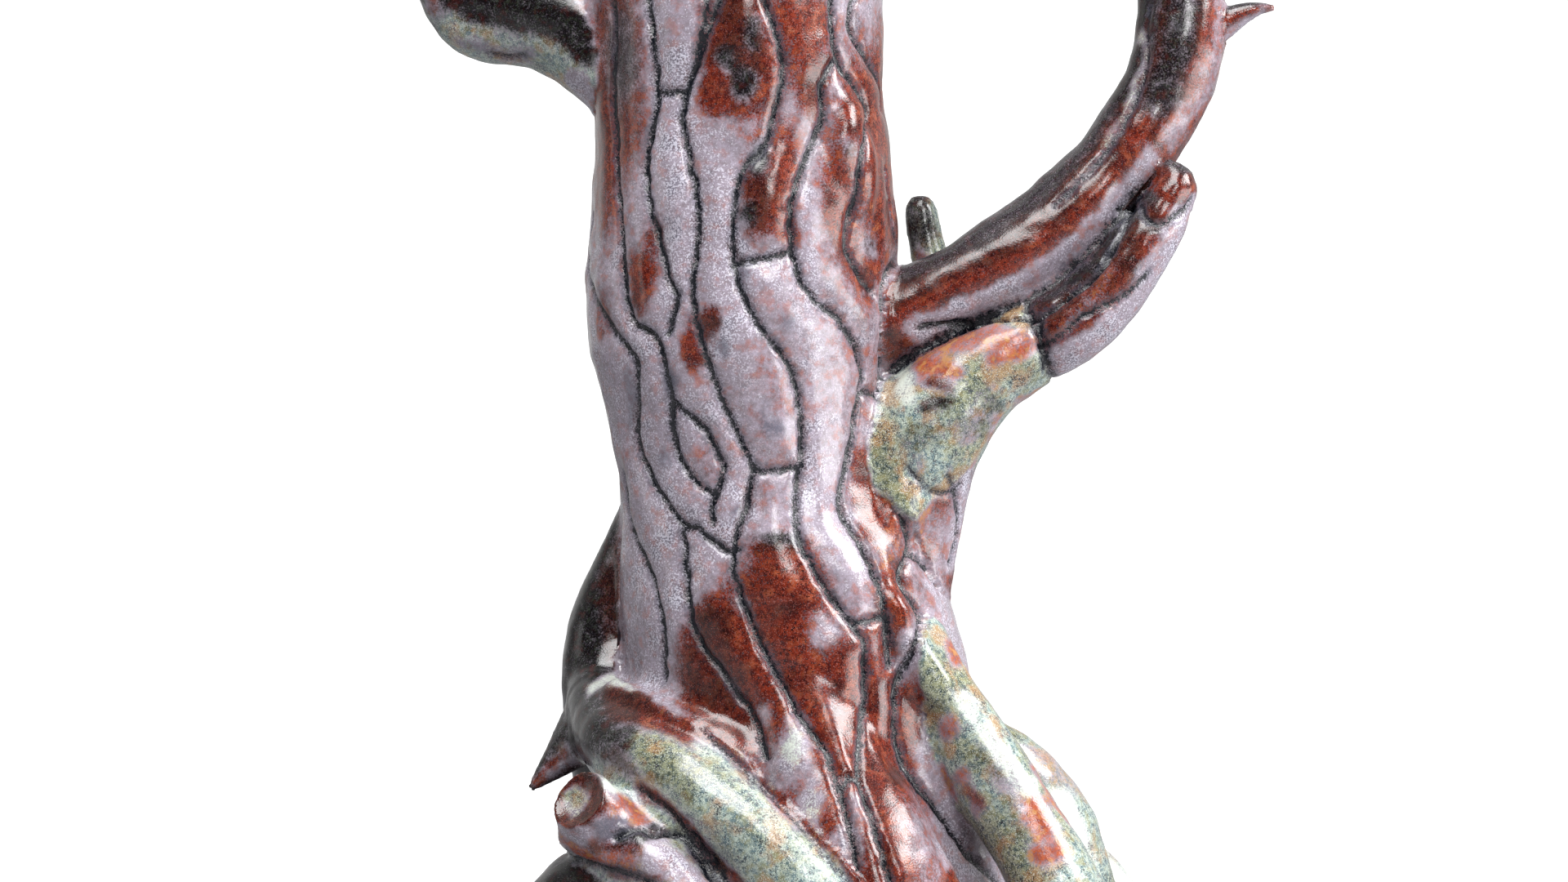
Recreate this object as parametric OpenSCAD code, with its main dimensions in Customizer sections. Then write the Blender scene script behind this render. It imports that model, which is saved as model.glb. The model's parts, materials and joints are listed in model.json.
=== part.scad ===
// Hand-built glazed clay tree: a hollow trunk on a round foot slab, with roots, limbs,
// stubs and twigs luted on one by one. Every piece of clay is one node.
// Millimetres, +Z up, origin at the middle of the foot slab's underside.
// The front of the tree faces -Y.

/* [Foot slab] */
// Radius of the round foot slab
foot_r = 78; // [76:1:84]
// Thickness of the foot slab
foot_t = 10; // [8:1:12]
// Radius of the rounded rim of the slab
foot_edge = 3; // [2:0.5:4]
// Radius of the vent hole that lets kiln gases out of the hollow trunk
vent_r = 6; // [4:0.5:8]
// Distance of the vent hole from the middle of the slab
vent_out = 20; // [14:1:24]

/* [Trunk] */
// Thickness factor of the whole trunk
trunk_swell = 1; // [0.95:0.01:1.05]
// Depth of the trunk, front to back, as a share of its width
trunk_depth = 0.94; // [0.9:0.01:1]
// Wall of the hollow trunk
trunk_wall = 7; // [5:0.5:9]

/* [Limbs and roots] */
// Thickness factor of every limb and twig
limb_swell = 1; // [0.95:0.01:1.05]
// Thickness factor of every root
root_swell = 1; // [0.95:0.01:1.05]
// Radius of the pegs that key the heavy limbs into the trunk wall
peg_r = 4.5; // [3:0.5:5]

/* [Roundness] */
// Sides of the trunk's rings
trunk_sides = 28; // [20:2:32]
// Sides of a limb's or root's rings
limb_sides = 12; // [10:1:14]
// Sides of a twig's rings
twig_sides = 8; // [8:1:12]

/* [Hidden] */

// Colours of the glazes
bark_glaze = [0.49, 0.30, 0.27];
rust_glaze = [0.50, 0.20, 0.12];
dark_glaze = [0.22, 0.13, 0.12];
celadon_glaze = [0.62, 0.68, 0.58];
slab_glaze = [0.35, 0.25, 0.22];

// How far pieces run into each other before they are trimmed
run_in = 4;
// Rings of a roll for each point of its route
ring_steps = 2;
// Sides of the pegs and of the slab's cutter
peg_sides = 24;
// The side directions that the rings of a route are lined up with
across = [0, 1, 0];
sideways = [1, 0, 0];

// Routes: each point is [x, y, z, radius].
trunk_route = [
  [3, 0, 2, 47], [3, 0, 14, 44], [3, 0, 28, 40.5], [2, 0, 44, 37.5], [1, 0, 60, 35],
  [-1, 0, 76, 33.5], [-3.5, 0, 92, 33], [-7, 0, 108, 32], [-10.2, 0, 121, 29],
  [-12, 0, 134, 27.4], [-13.4, 0, 147, 28.4], [-14.8, 0, 158, 30],
  [-15.2, 0, 168, 30.4], [-14.2, 0, 180, 30.6], [-14.6, 0, 194, 29], [-15.6, 0, 209, 28.8],
  [-15.8, 0, 224, 29], [-16.2, 0, 238, 28], [-16.4, 1, 250, 24], [-16.4, 1, 260, 17],
  [-16, 1, 266, 9], [-16, 1, 268, 3]
];
// The first and last points of the trunk's route that the hollow follows
hollow_from = 0;
hollow_to = 18;

left_rear_route = [
  [-33, 8, 126, 3.6], [-36.5, 9, 117, 5.6], [-40, 10, 106, 7.2], [-42.4, 9, 95, 8],
  [-41.4, 8, 84, 8.8], [-39, 12, 68, 8.8], [-42, 20, 50, 8.6], [-50, 27, 31, 7.8],
  [-60, 34, 17, 5.4], [-67, 36, 10.6, 2.8]
];
front_left_route = [
  [-42, 2, 84, 6.4], [-40, -9, 81.5, 7.8], [-34, -21, 77, 8.4], [-25, -30, 72, 8.4],
  [-15, -36, 65, 8.2], [-5, -40, 56, 8.2], [4, -44, 46, 8.4], [11, -50, 34, 8.2],
  [16, -58, 23, 7.4], [22, -66, 15, 5.4], [26, -71, 10.8, 2.8]
];
root_thorn_route = [
  [-42, 2.6, 85.8, 6.5], [-46, -0.6, 80.2, 5.4], [-50, -2.4, 75.6, 3.6], [-53.6, -3.6, 72, 1.8],
  [-56, -4, 69.5, 0.5]
];
cut_stub_route = [
  [-14, -40, 44, 7], [-22, -40, 49.5, 7.2], [-31, -37, 57, 7.2], [-39, -33, 63, 7],
  [-45.5, -30, 67, 6.8]
];
mound_route = [
  [-16, -34, 40, 11], [-29, -31, 44, 13.5], [-42, -25, 45.5, 14.6], [-53, -22, 33, 12.8],
  [-62, -21, 20, 9.4], [-69, -20, 12, 5.4]
];
root_right_route = [
  [17, -14, 104, 4], [21, -17, 96, 5.4], [25.5, -19, 87, 6.4], [31, -21, 77, 7.4],
  [37, -23, 67, 8], [43, -26, 57, 8.4], [48, -29, 46, 8.6], [53, -29, 34, 8.4],
  [59, -29, 24, 7.4], [64, -32, 16, 5.4], [67, -36, 10.8, 2.8]
];
right_rear_route = [
  [22, 8, 78, 7], [32, 10, 74.5, 8], [41.5, 11, 69, 8.2], [47.5, 13, 60, 8.4],
  [51, 15, 47, 8.6], [56, 17, 33, 8], [62, 18, 20, 6.6], [68, 17, 12.8, 4.4],
  [73, 14, 10.6, 2.4]
];
far_right_route = [
  [28, 22, 62, 7.6], [43, 26, 56.5, 7.2], [54, 29, 49.5, 7], [62, 33, 40, 6.8],
  [65, 36, 28, 6.2], [64, 40, 17, 5], [63, 43, 10.8, 2.8]
];
front_toe_route = [
  [16, -27, 52, 8], [25, -37, 43, 9], [35, -43, 33, 8.6], [44, -46, 22, 7.2],
  [53, -49, 14, 5], [58, -50, 10.8, 2.8]
];
left_toe_route = [
  [-16, -32, 40, 9], [-25, -40, 31, 9.4], [-33, -49, 22, 8], [-37, -58, 14, 5.6],
  [-43, -64, 10.6, 2.8]
];
back_left_route = [
  [-22, 20, 88, 6], [-28, 28, 74, 8.4], [-31, 36, 58, 9.4], [-31, 45, 42, 9.4],
  [-37, 53, 27, 8.2], [-46, 58, 15.5, 5.6], [-52, 58, 10.8, 2.8]
];
back_route = [
  [-4, 26, 92, 6], [-3, 34, 76, 8.4], [2, 41, 60, 9.6], [0, 49, 44, 9.6],
  [-1, 58, 28, 8.6], [5, 67, 15.5, 5.8], [12, 71, 10.8, 2.8]
];
back_right_route = [
  [16, 24, 84, 6.4], [23, 32, 70, 8.4], [30, 38, 54, 9.2], [31, 45, 38, 9],
  [36, 53, 24, 7.6], [44, 58, 14, 5.2], [51, 56, 10.8, 2.8]
];

right_main_route = [
  [6, 0, 157, 10], [15, -1, 160.5, 9], [25, -2, 166, 8.6], [35.5, -2, 172, 8.8],
  [46.5, -1, 179, 9.2], [58, 0, 190, 9], [66.5, 1, 203, 8.8], [71, 2, 215, 8.6],
  [71.5, 3, 228, 8.2], [69, 4, 242, 7.6], [67.5, 4, 256, 6.8], [70, 3, 269, 5.8],
  [75, 2, 281, 4.4], [79, 1, 292, 2.8], [81, 0, 301, 0.8]
];
buttress_route = [
  [12, -4, 97, 9], [17.8, -4, 108, 8.4], [19, -4, 118, 8.4], [20.6, -4, 127, 9],
  [22, -4.5, 134, 9.4]
];
collar_route = [
  [8, -4, 126, 11], [18, -5, 135.5, 12.6], [26.5, -6, 146, 11], [35, -6.5, 152.5, 8.8],
  [43, -6.5, 156, 8]
];
right_stub_route = [
  [41, -6.5, 155, 7.2], [46, -7, 157.5, 7.4], [53.5, -8, 163, 7.4], [60, -8.5, 171, 6.8],
  [65.6, -8.5, 179.5, 6.2], [68.4, -8.5, 184.5, 5]
];
bud_route = [
  [67.6, -8.5, 183, 5], [69.6, -8.5, 187, 4.6], [68.6, -8.5, 190, 2.6], [67.4, -8.5, 191.8, 0.7]
];
rear_stub_route = [
  [24, 7, 166, 4.6], [23, 10, 172, 3.8], [21.4, 11, 179, 3.4], [20.6, 11, 184, 3],
  [20.4, 11, 186, 1.4]
];
thorn_twig_route = [
  [72, 2, 216, 4.4], [79.6, 1, 219.4, 3], [84, 0, 221.6, 1.9], [87.4, -0.5, 222.4, 1.1],
  [90, -1, 222, 0.5]
];
right_upper_route = [
  [68, 4, 252, 5], [62, 6, 262, 4], [56, 9, 271, 3.2], [54, 12, 281, 2.2],
  [50, 14, 290, 0.6]
];
limb_left_route = [
  [-32, 0, 209, 12.4], [-41, 0, 212.4, 10.6], [-48, 1, 215.8, 8.4], [-56, 2, 218.4, 7.2],
  [-63.5, 3, 218.8, 7], [-69.4, 3, 221.6, 6.8], [-73, 3, 228, 6.4], [-75, 2, 238, 5.8],
  [-76, 1, 248, 4.9], [-74, 0, 259, 4.3], [-77, -1, 270, 3.4], [-82, -2, 280, 2.2],
  [-85, -3, 288, 0.7]
];
left_upper_route = [
  [-75.6, 1, 244, 3.8], [-82, 4, 250, 3.2], [-88, 6, 257, 2.3], [-90, 8, 266, 1.4],
  [-93, 9, 273, 0.5]
];
limb_back_route = [
  [-12, 18, 190, 11], [-10, 29, 195, 9.6], [-6, 41, 202, 8.2], [0, 52, 213, 7.2],
  [4, 59, 228, 6.2], [3, 64, 243, 5], [8, 69, 256, 3.6], [12, 72, 267, 2], [14, 73, 274, 0.7]
];
twig_back_route = [
  [1, 54, 216, 5], [-8, 60, 223, 3.8], [-17, 65, 231, 2.8], [-22, 67, 241, 1.8],
  [-26, 70, 249, 0.6]
];
back_stub_route = [
  [-22, 20, 150, 9], [-26, 29, 154, 7.6], [-30, 36, 160, 7], [-32, 40, 165, 6.8]
];

crown_left_route = [
  [-20, 0, 226, 20], [-25, -1, 246, 18], [-34, -3, 266, 15], [-43, -5, 284, 12.4],
  [-48, -6, 303, 10.4], [-52, -7, 321, 8.6], [-62, -9, 337, 6.8], [-70, -11, 353, 4.8],
  [-76, -13, 368, 2.8], [-83, -14, 382, 0.7]
];
left_branch_route = [
  [-46, -5, 300, 7.4], [-57, 1, 309, 6.4], [-69, 6, 317, 5.4], [-80, 9, 328, 4.2],
  [-86, 10, 342, 2.8], [-92, 11, 354, 0.8]
];
left_spray_route = [
  [-69, 6, 318, 4.4], [-72, 0, 330, 3.4], [-70, -4, 342, 2.2], [-74, -6, 352, 0.6]
];
left_twig_route = [
  [-50, -7, 318, 5.8], [-45, -12, 332, 4.8], [-36, -16, 346, 3.8], [-33, -19, 361, 2.8],
  [-27, -22, 374, 1.8], [-26, -24, 386, 0.6]
];
crown_right_route = [
  [-12, 0, 226, 20], [-7, 0, 246, 17.6], [4, 0, 264, 14.8], [17, -1, 280, 12.4],
  [27, -2, 297, 10.4], [30, -3, 315, 8.6], [36, -5, 333, 6.8], [46, -7, 350, 4.8],
  [52, -8, 367, 2.8], [59, -9, 386, 0.7]
];
right_branch_route = [
  [24, -1, 293, 7.6], [37, 4, 301, 6.6], [50, 8, 308, 5.6], [60, 10, 320, 4.4],
  [69, 11, 334, 3], [74, 12, 348, 0.8]
];
right_spray_route = [
  [50, 8, 309, 4.6], [49, 3, 322, 3.4], [54, 0, 334, 2.2], [53, -2, 345, 0.6]
];
right_twig_route = [
  [31, -3, 318, 5.8], [25, -9, 332, 4.8], [16, -13, 344, 3.8], [13, -16, 358, 2.8],
  [7, -19, 371, 1.8], [5, -21, 383, 0.6]
];
crown_rear_route = [
  [-15, 3, 230, 16], [-13, 11, 248, 14.4], [-10, 22, 265, 12.2], [-8, 33, 282, 10.2],
  [-12, 43, 300, 8.4], [-12, 50, 320, 6.8], [-4, 56, 338, 5], [-3, 62, 356, 3],
  [2, 66, 371, 0.8]
];
rear_branch_route = [
  [-10, 40, 296, 6.8], [-21, 48, 306, 5.8], [-33, 54, 315, 4.6], [-41, 58, 329, 3.2],
  [-49, 60, 341, 0.8]
];
rear_twig_route = [
  [-12, 49, 318, 5.8], [-1, 55, 328, 4.6], [10, 61, 336, 3.6], [17, 65, 350, 2.2],
  [24, 67, 360, 0.7]
];
crown_front_route = [
  [-17, -2, 232, 14], [-15, -11, 248, 12], [-9, -22, 264, 10.2], [-5, -32, 281, 8.4],
  [-9, -39, 298, 7], [-6, -46, 315, 5.2], [2, -52, 330, 3.6], [4, -56, 345, 1.8],
  [8, -58, 356, 0.7]
];
front_twig_route = [
  [-6, -34, 288, 5.6], [5, -39, 297, 4.4], [15, -45, 305, 3.2], [21, -49, 318, 2],
  [27, -51, 327, 0.6]
];

// A point between p1 and p2 of a route, on a smooth curve through all its points
function curve(p0, p1, p2, p3, t) =
  0.5 * (2 * p1 + (p2 - p0) * t + (2 * p0 - 5 * p1 + 4 * p2 - p3) * t * t
  + (3 * p1 - p0 - 3 * p2 + p3) * t * t * t);

// The route's own point i, or its end point past either end
function held(route, i) = route[max(0, min(len(route) - 1, i))];

// The route with `steps` rings for each of its points, its radii times `swell`
function smoothed(route, steps, swell) = [
  for (i = [0:len(route) - 2], k = [0:steps - 1])
    fattened(curve(held(route, i - 1), route[i], route[i + 1], held(route, i + 2), k / steps), swell),
  fattened(route[len(route) - 1], swell)
];

function fattened(p, swell) = [p[0], p[1], p[2], p[3] * swell];
function place(p) = [p[0], p[1], p[2]];
function unit(v) = v / norm(v);
function heading(q, i) =
  unit(place(q[min(i + 1, len(q) - 1)]) - place(q[max(i - 1, 0)]));

// One ring of `n` points round point i of the smoothed route
function ring(q, i, n, side, depth) =
  let (t = heading(q, i), u = unit(cross(side, t)), v = cross(t, u))
  [for (k = [0:n - 1])
    place(q[i]) + q[i][3] * (cos(360 * k / n) * u + depth * sin(360 * k / n) * v)];

// A closed roll of clay along a route
module roll(route, side = across, n = limb_sides, steps = ring_steps, swell = 1, depth = 1) {
  q = smoothed(route, steps, swell);
  last = len(q) - 1;
  points = [for (i = [0:last]) each ring(q, i, n, side, depth)];
  walls = [
    for (i = [0:last - 1], k = [0:n - 1])
      let (a = i * n + k, b = i * n + (k + 1) % n)
      each [[a, a + n, b + n], [a, b + n, b]]
  ];
  start = [for (k = [0:n - 1]) k];
  end = [for (k = [n - 1:-1:0]) last * n + k];
  polyhedron(points, concat([start], walls, [end]), convexity = 6);
}

// The first child less all the others, joined to any peg: one piece of clay, trimmed to
// sit flush on its neighbours before it is luted on
module trimmed() {
  resize([0, 0, 0]) difference() {
    children(0);
    children([1:$children - 1]);
  }
}

// The space below the top of the foot slab
module under_foot() {
  translate([-2 * foot_r, -2 * foot_r, -foot_t])
    cube([4 * foot_r, 4 * foot_r, 2 * foot_t]);
}

// A peg from point `from` of a route towards the next one, through the trunk wall
module peg(route) {
  a = place(route[0]);
  d = place(route[1]) - a;
  translate(a)
    rotate([0, acos(d[2] / norm(d)), atan2(d[1], d[0])])
      cylinder(r = peg_r, h = norm(d) + run_in, $fn = peg_sides);
}

// A limb that is keyed into the trunk wall by its peg
module keyed(route, side = across, n = limb_sides) {
  resize([0, 0, 0]) union() {
    difference() {
      roll(route, side, n, ring_steps, limb_swell);
      trunk_form();
    }
    difference() {
      peg(route);
      trunk_hollow();
    }
  }
}

module trunk_form() {
  roll(trunk_route, across, trunk_sides, ring_steps, trunk_swell, trunk_depth);
}

module trunk_hollow() {
  inner = [for (i = [hollow_from:hollow_to]) trunk_route[i] - [0, 0, 0, trunk_wall]];
  roll(inner, across, trunk_sides / 2, 1, trunk_swell, trunk_depth);
}

module foot_slab() {
  color(slab_glaze)
    difference() {
      rotate_extrude($fn = 96) {
        square([foot_r - foot_edge, foot_t]);
        translate([0, foot_edge]) square([foot_r, foot_t - 2 * foot_edge]);
        translate([foot_r - foot_edge, foot_edge]) circle(r = foot_edge, $fn = 24);
        translate([foot_r - foot_edge, foot_t - foot_edge]) circle(r = foot_edge, $fn = 24);
      }
      translate([vent_out, 0, -1]) cylinder(r = vent_r, h = foot_t + 2, $fn = 48);
    }
}

module trunk_shell() {
  color(bark_glaze)
    resize([0, 0, 0]) difference() {
      trunk_form();
      trunk_hollow();
      under_foot();
      peg(right_main_route);
      peg(limb_left_route);
      peg(limb_back_route);
    }
}

// Roots
module root_left_rear_roll() { roll(left_rear_route, across, limb_sides, ring_steps, root_swell); }
module root_front_left_roll() { roll(front_left_route, [0, 0, 1], limb_sides, ring_steps, root_swell); }
module root_thorn_roll() { roll(root_thorn_route, across, twig_sides, ring_steps, root_swell); }
module root_cut_stub_roll() { roll(cut_stub_route, across, limb_sides, ring_steps, root_swell); }
module root_mound_roll() { roll(mound_route, across, limb_sides, ring_steps, root_swell); }
module root_right_roll() { roll(root_right_route, across, limb_sides, ring_steps, root_swell); }
module root_right_rear_roll() { roll(right_rear_route, across, limb_sides, ring_steps, root_swell); }
module root_far_right_roll() { roll(far_right_route, sideways, limb_sides, ring_steps, root_swell); }

module root_left_rear() {
  color(dark_glaze) trimmed() {
    root_left_rear_roll();
    trunk_form();
    under_foot();
  }
}

module root_front_left() {
  color(celadon_glaze) trimmed() {
    root_front_left_roll();
    trunk_form();
    root_left_rear_roll();
    under_foot();
  }
}

module root_thorn() {
  color(dark_glaze) trimmed() {
    root_thorn_roll();
    trunk_form();
    root_left_rear_roll();
    root_front_left_roll();
  }
}

module root_cut_stub() {
  color(celadon_glaze) trimmed() {
    root_cut_stub_roll();
    trunk_form();
    root_front_left_roll();
  }
}

module root_mound() {
  color(dark_glaze) trimmed() {
    root_mound_roll();
    trunk_form();
    root_front_left_roll();
    root_cut_stub_roll();
    root_left_rear_roll();
    under_foot();
  }
}

module root_right() {
  color(celadon_glaze) trimmed() {
    root_right_roll();
    trunk_form();
    roll(buttress_route, across, limb_sides, ring_steps, limb_swell);
    under_foot();
  }
}

module root_right_rear() {
  color(celadon_glaze) trimmed() {
    root_right_rear_roll();
    trunk_form();
    root_right_roll();
    under_foot();
  }
}

module root_far_right() {
  color(celadon_glaze) trimmed() {
    root_far_right_roll();
    trunk_form();
    root_right_rear_roll();
    under_foot();
  }
}

module root_front_toe() {
  color(rust_glaze) trimmed() {
    roll(front_toe_route, across, limb_sides, ring_steps, root_swell);
    trunk_form();
    root_front_left_roll();
    root_right_roll();
    under_foot();
  }
}

module root_left_toe() {
  color(dark_glaze) trimmed() {
    roll(left_toe_route, across, limb_sides, ring_steps, root_swell);
    trunk_form();
    root_mound_roll();
    root_cut_stub_roll();
    under_foot();
  }
}

module root_back_left() {
  color(dark_glaze) trimmed() {
    roll(back_left_route, sideways, limb_sides, ring_steps, root_swell);
    trunk_form();
    root_left_rear_roll();
    under_foot();
  }
}

module root_back() {
  color(rust_glaze) trimmed() {
    roll(back_route, sideways, limb_sides, ring_steps, root_swell);
    trunk_form();
    under_foot();
  }
}

module root_back_right() {
  color(celadon_glaze) trimmed() {
    roll(back_right_route, sideways, limb_sides, ring_steps, root_swell);
    trunk_form();
    roll(back_route, sideways, limb_sides, ring_steps, root_swell);
    root_far_right_roll();
    under_foot();
  }
}

// Right-hand limbs
module right_main_roll() { roll(right_main_route, across, limb_sides, ring_steps, limb_swell); }
module buttress_roll() { roll(buttress_route, across, limb_sides, ring_steps, limb_swell); }
module collar_roll() { roll(collar_route, across, limb_sides, ring_steps, limb_swell); }
module right_stub_roll() { roll(right_stub_route, across, limb_sides, ring_steps, limb_swell); }

module limb_right_main() { color(rust_glaze) keyed(right_main_route); }

module limb_collar() {
  color(celadon_glaze) trimmed() {
    collar_roll();
    trunk_form();
    right_main_roll();
  }
}

module limb_buttress() {
  color(bark_glaze) trimmed() {
    buttress_roll();
    trunk_form();
    collar_roll();
  }
}

module limb_right_stub() {
  color(rust_glaze) trimmed() {
    right_stub_roll();
    right_main_roll();
    collar_roll();
  }
}

module stub_bud() {
  color(rust_glaze) trimmed() {
    roll(bud_route, across, twig_sides, ring_steps, limb_swell);
    right_stub_roll();
    right_main_roll();
  }
}

module twig_rear_stub() {
  color(dark_glaze) trimmed() {
    roll(rear_stub_route, across, twig_sides, ring_steps, limb_swell);
    trunk_form();
    right_main_roll();
  }
}

module twig_thorn() {
  color(rust_glaze) trimmed() {
    roll(thorn_twig_route, across, twig_sides, ring_steps, limb_swell);
    right_main_roll();
  }
}

module twig_right_upper() {
  color(rust_glaze) trimmed() {
    roll(right_upper_route, across, twig_sides, ring_steps, limb_swell);
    right_main_roll();
  }
}

// Left-hand limb
module limb_left_roll() { roll(limb_left_route, across, limb_sides, ring_steps, limb_swell); }

module limb_left() { color(celadon_glaze) keyed(limb_left_route); }

module twig_left_upper() {
  color(celadon_glaze) trimmed() {
    roll(left_upper_route, across, twig_sides, ring_steps, limb_swell);
    limb_left_roll();
  }
}

// Limb and stub on the back
module limb_back_roll() { roll(limb_back_route, sideways, limb_sides, ring_steps, limb_swell); }

module limb_back() { color(rust_glaze) keyed(limb_back_route, sideways); }

module twig_back() {
  color(celadon_glaze) trimmed() {
    roll(twig_back_route, across, twig_sides, ring_steps, limb_swell);
    limb_back_roll();
  }
}

module back_cut_stub() {
  color(celadon_glaze) trimmed() {
    roll(back_stub_route, sideways, limb_sides, ring_steps, limb_swell);
    trunk_form();
  }
}

// Crown
module crown_left_roll() { roll(crown_left_route, across, limb_sides, ring_steps, limb_swell); }
module crown_right_roll() { roll(crown_right_route, across, limb_sides, ring_steps, limb_swell); }
module crown_rear_roll() { roll(crown_rear_route, sideways, limb_sides, ring_steps, limb_swell); }
module crown_front_roll() { roll(crown_front_route, sideways, limb_sides, ring_steps, limb_swell); }

module crown_left() {
  color(bark_glaze) trimmed() {
    crown_left_roll();
    trunk_form();
  }
}

module crown_right() {
  color(bark_glaze) trimmed() {
    crown_right_roll();
    trunk_form();
    crown_left_roll();
  }
}

module crown_rear() {
  color(rust_glaze) trimmed() {
    crown_rear_roll();
    trunk_form();
    crown_left_roll();
    crown_right_roll();
  }
}

module crown_front() {
  color(rust_glaze) trimmed() {
    crown_front_roll();
    trunk_form();
    crown_left_roll();
    crown_right_roll();
    crown_rear_roll();
  }
}

module crown_left_branch() {
  color(dark_glaze) trimmed() {
    roll(left_branch_route, across, twig_sides, ring_steps, limb_swell);
    crown_left_roll();
  }
}

module crown_left_spray() {
  color(celadon_glaze) trimmed() {
    roll(left_spray_route, across, twig_sides, ring_steps, limb_swell);
    roll(left_branch_route, across, twig_sides, ring_steps, limb_swell);
  }
}

module crown_left_twig() {
  color(celadon_glaze) trimmed() {
    roll(left_twig_route, across, twig_sides, ring_steps, limb_swell);
    crown_left_roll();
  }
}

module crown_right_branch() {
  color(dark_glaze) trimmed() {
    roll(right_branch_route, across, twig_sides, ring_steps, limb_swell);
    crown_right_roll();
  }
}

module crown_right_spray() {
  color(celadon_glaze) trimmed() {
    roll(right_spray_route, across, twig_sides, ring_steps, limb_swell);
    roll(right_branch_route, across, twig_sides, ring_steps, limb_swell);
  }
}

module crown_right_twig() {
  color(celadon_glaze) trimmed() {
    roll(right_twig_route, across, twig_sides, ring_steps, limb_swell);
    crown_right_roll();
  }
}

module crown_rear_branch() {
  color(dark_glaze) trimmed() {
    roll(rear_branch_route, across, twig_sides, ring_steps, limb_swell);
    crown_rear_roll();
  }
}

module crown_rear_twig() {
  color(celadon_glaze) trimmed() {
    roll(rear_twig_route, across, twig_sides, ring_steps, limb_swell);
    crown_rear_roll();
  }
}

module crown_front_twig() {
  color(celadon_glaze) trimmed() {
    roll(front_twig_route, across, twig_sides, ring_steps, limb_swell);
    crown_front_roll();
  }
}

foot_slab();
trunk_shell();
root_left_rear();
root_front_left();
root_thorn();
root_cut_stub();
root_mound();
root_right();
root_right_rear();
root_far_right();
root_front_toe();
root_left_toe();
root_back_left();
root_back();
root_back_right();
limb_right_main();
limb_buttress();
limb_collar();
limb_right_stub();
stub_bud();
twig_rear_stub();
twig_thorn();
twig_right_upper();
limb_left();
twig_left_upper();
limb_back();
twig_back();
back_cut_stub();
crown_left();
crown_left_branch();
crown_left_spray();
crown_left_twig();
crown_right();
crown_right_branch();
crown_right_spray();
crown_right_twig();
crown_rear();
crown_rear_branch();
crown_rear_twig();
crown_front();
crown_front_twig();
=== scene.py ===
"""A glazed clay tree: one continuous glaze skin over luted pieces of clay, cut apart into the pieces."""

import json
import math

import bpy
import numpy as np
from bpy.props import FloatProperty, FloatVectorProperty, IntProperty, PointerProperty
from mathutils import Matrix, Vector, noise
from mathutils.bvhtree import BVHTree
from mathutils.kdtree import KDTree

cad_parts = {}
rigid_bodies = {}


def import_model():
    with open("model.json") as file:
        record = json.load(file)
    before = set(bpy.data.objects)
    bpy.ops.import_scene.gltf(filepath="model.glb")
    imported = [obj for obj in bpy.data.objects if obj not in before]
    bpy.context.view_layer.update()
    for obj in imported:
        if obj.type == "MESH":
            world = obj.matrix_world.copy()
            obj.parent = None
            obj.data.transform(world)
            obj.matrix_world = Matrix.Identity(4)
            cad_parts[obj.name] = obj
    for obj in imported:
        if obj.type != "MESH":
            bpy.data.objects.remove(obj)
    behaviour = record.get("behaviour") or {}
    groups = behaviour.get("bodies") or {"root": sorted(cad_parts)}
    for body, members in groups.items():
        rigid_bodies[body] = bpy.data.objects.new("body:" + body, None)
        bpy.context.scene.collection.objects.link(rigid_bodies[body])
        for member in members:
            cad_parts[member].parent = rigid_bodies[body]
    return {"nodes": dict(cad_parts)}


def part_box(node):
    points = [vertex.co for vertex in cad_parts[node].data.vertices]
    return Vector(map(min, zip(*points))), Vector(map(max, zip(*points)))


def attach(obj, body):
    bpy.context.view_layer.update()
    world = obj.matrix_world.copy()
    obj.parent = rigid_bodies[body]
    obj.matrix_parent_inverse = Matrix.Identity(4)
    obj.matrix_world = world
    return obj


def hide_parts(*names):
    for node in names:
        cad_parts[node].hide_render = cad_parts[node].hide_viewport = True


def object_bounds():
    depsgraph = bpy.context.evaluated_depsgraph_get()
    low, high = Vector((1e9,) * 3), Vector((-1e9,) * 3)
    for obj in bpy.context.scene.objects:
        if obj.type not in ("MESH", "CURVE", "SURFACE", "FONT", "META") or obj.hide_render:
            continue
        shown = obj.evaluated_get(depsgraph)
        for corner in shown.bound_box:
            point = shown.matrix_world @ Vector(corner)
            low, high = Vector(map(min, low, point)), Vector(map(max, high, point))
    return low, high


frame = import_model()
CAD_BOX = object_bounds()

bl_info = {
    "name": "Glazed clay tree",
    "version": (1, 0, 0),
    "blender": (4, 5, 0),
    "location": "View3D > Sidebar > Clay Tree",
    "description": "Skins, carves and glazes the luted pieces of a hand-built clay tree",
    "category": "Object",
}

MM = 0.001
REACH = 6 * MM  # how far from a line or a piece its effect is worked out
BALL_STEP = 1.6  # millimetres between balls of slip
SKIN = "luted_skin"
GLAZE = "layered_stoneware_glaze"
FOOT = Vector((0.0, 0.0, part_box("foot_slab")[0][2]))
NODE_NAMES = sorted(frame["nodes"])

# The families that the pieces are glazed and cut out in
ROOTS = [name for name in NODE_NAMES if name.startswith("root_")]
LIMBS = [name for name in NODE_NAMES if name.startswith(("limb_", "stub_", "back_"))]
TWIGS = [name for name in NODE_NAMES if name.startswith("twig_") or name.endswith(("_twig", "_spray"))]
CROWN = [name for name in NODE_NAMES if name.startswith("crown_") and name not in TWIGS]
THIN = TWIGS + ["root_thorn", "stub_bud"]
BARKED = ["trunk_shell", "root_front_toe"]

# The floor's paper as it looks, and the darker paper that it gives light back as
PAPER_SEEN = "#F4F4F6"
PAPER_LIT = "#8C8C90"

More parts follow.
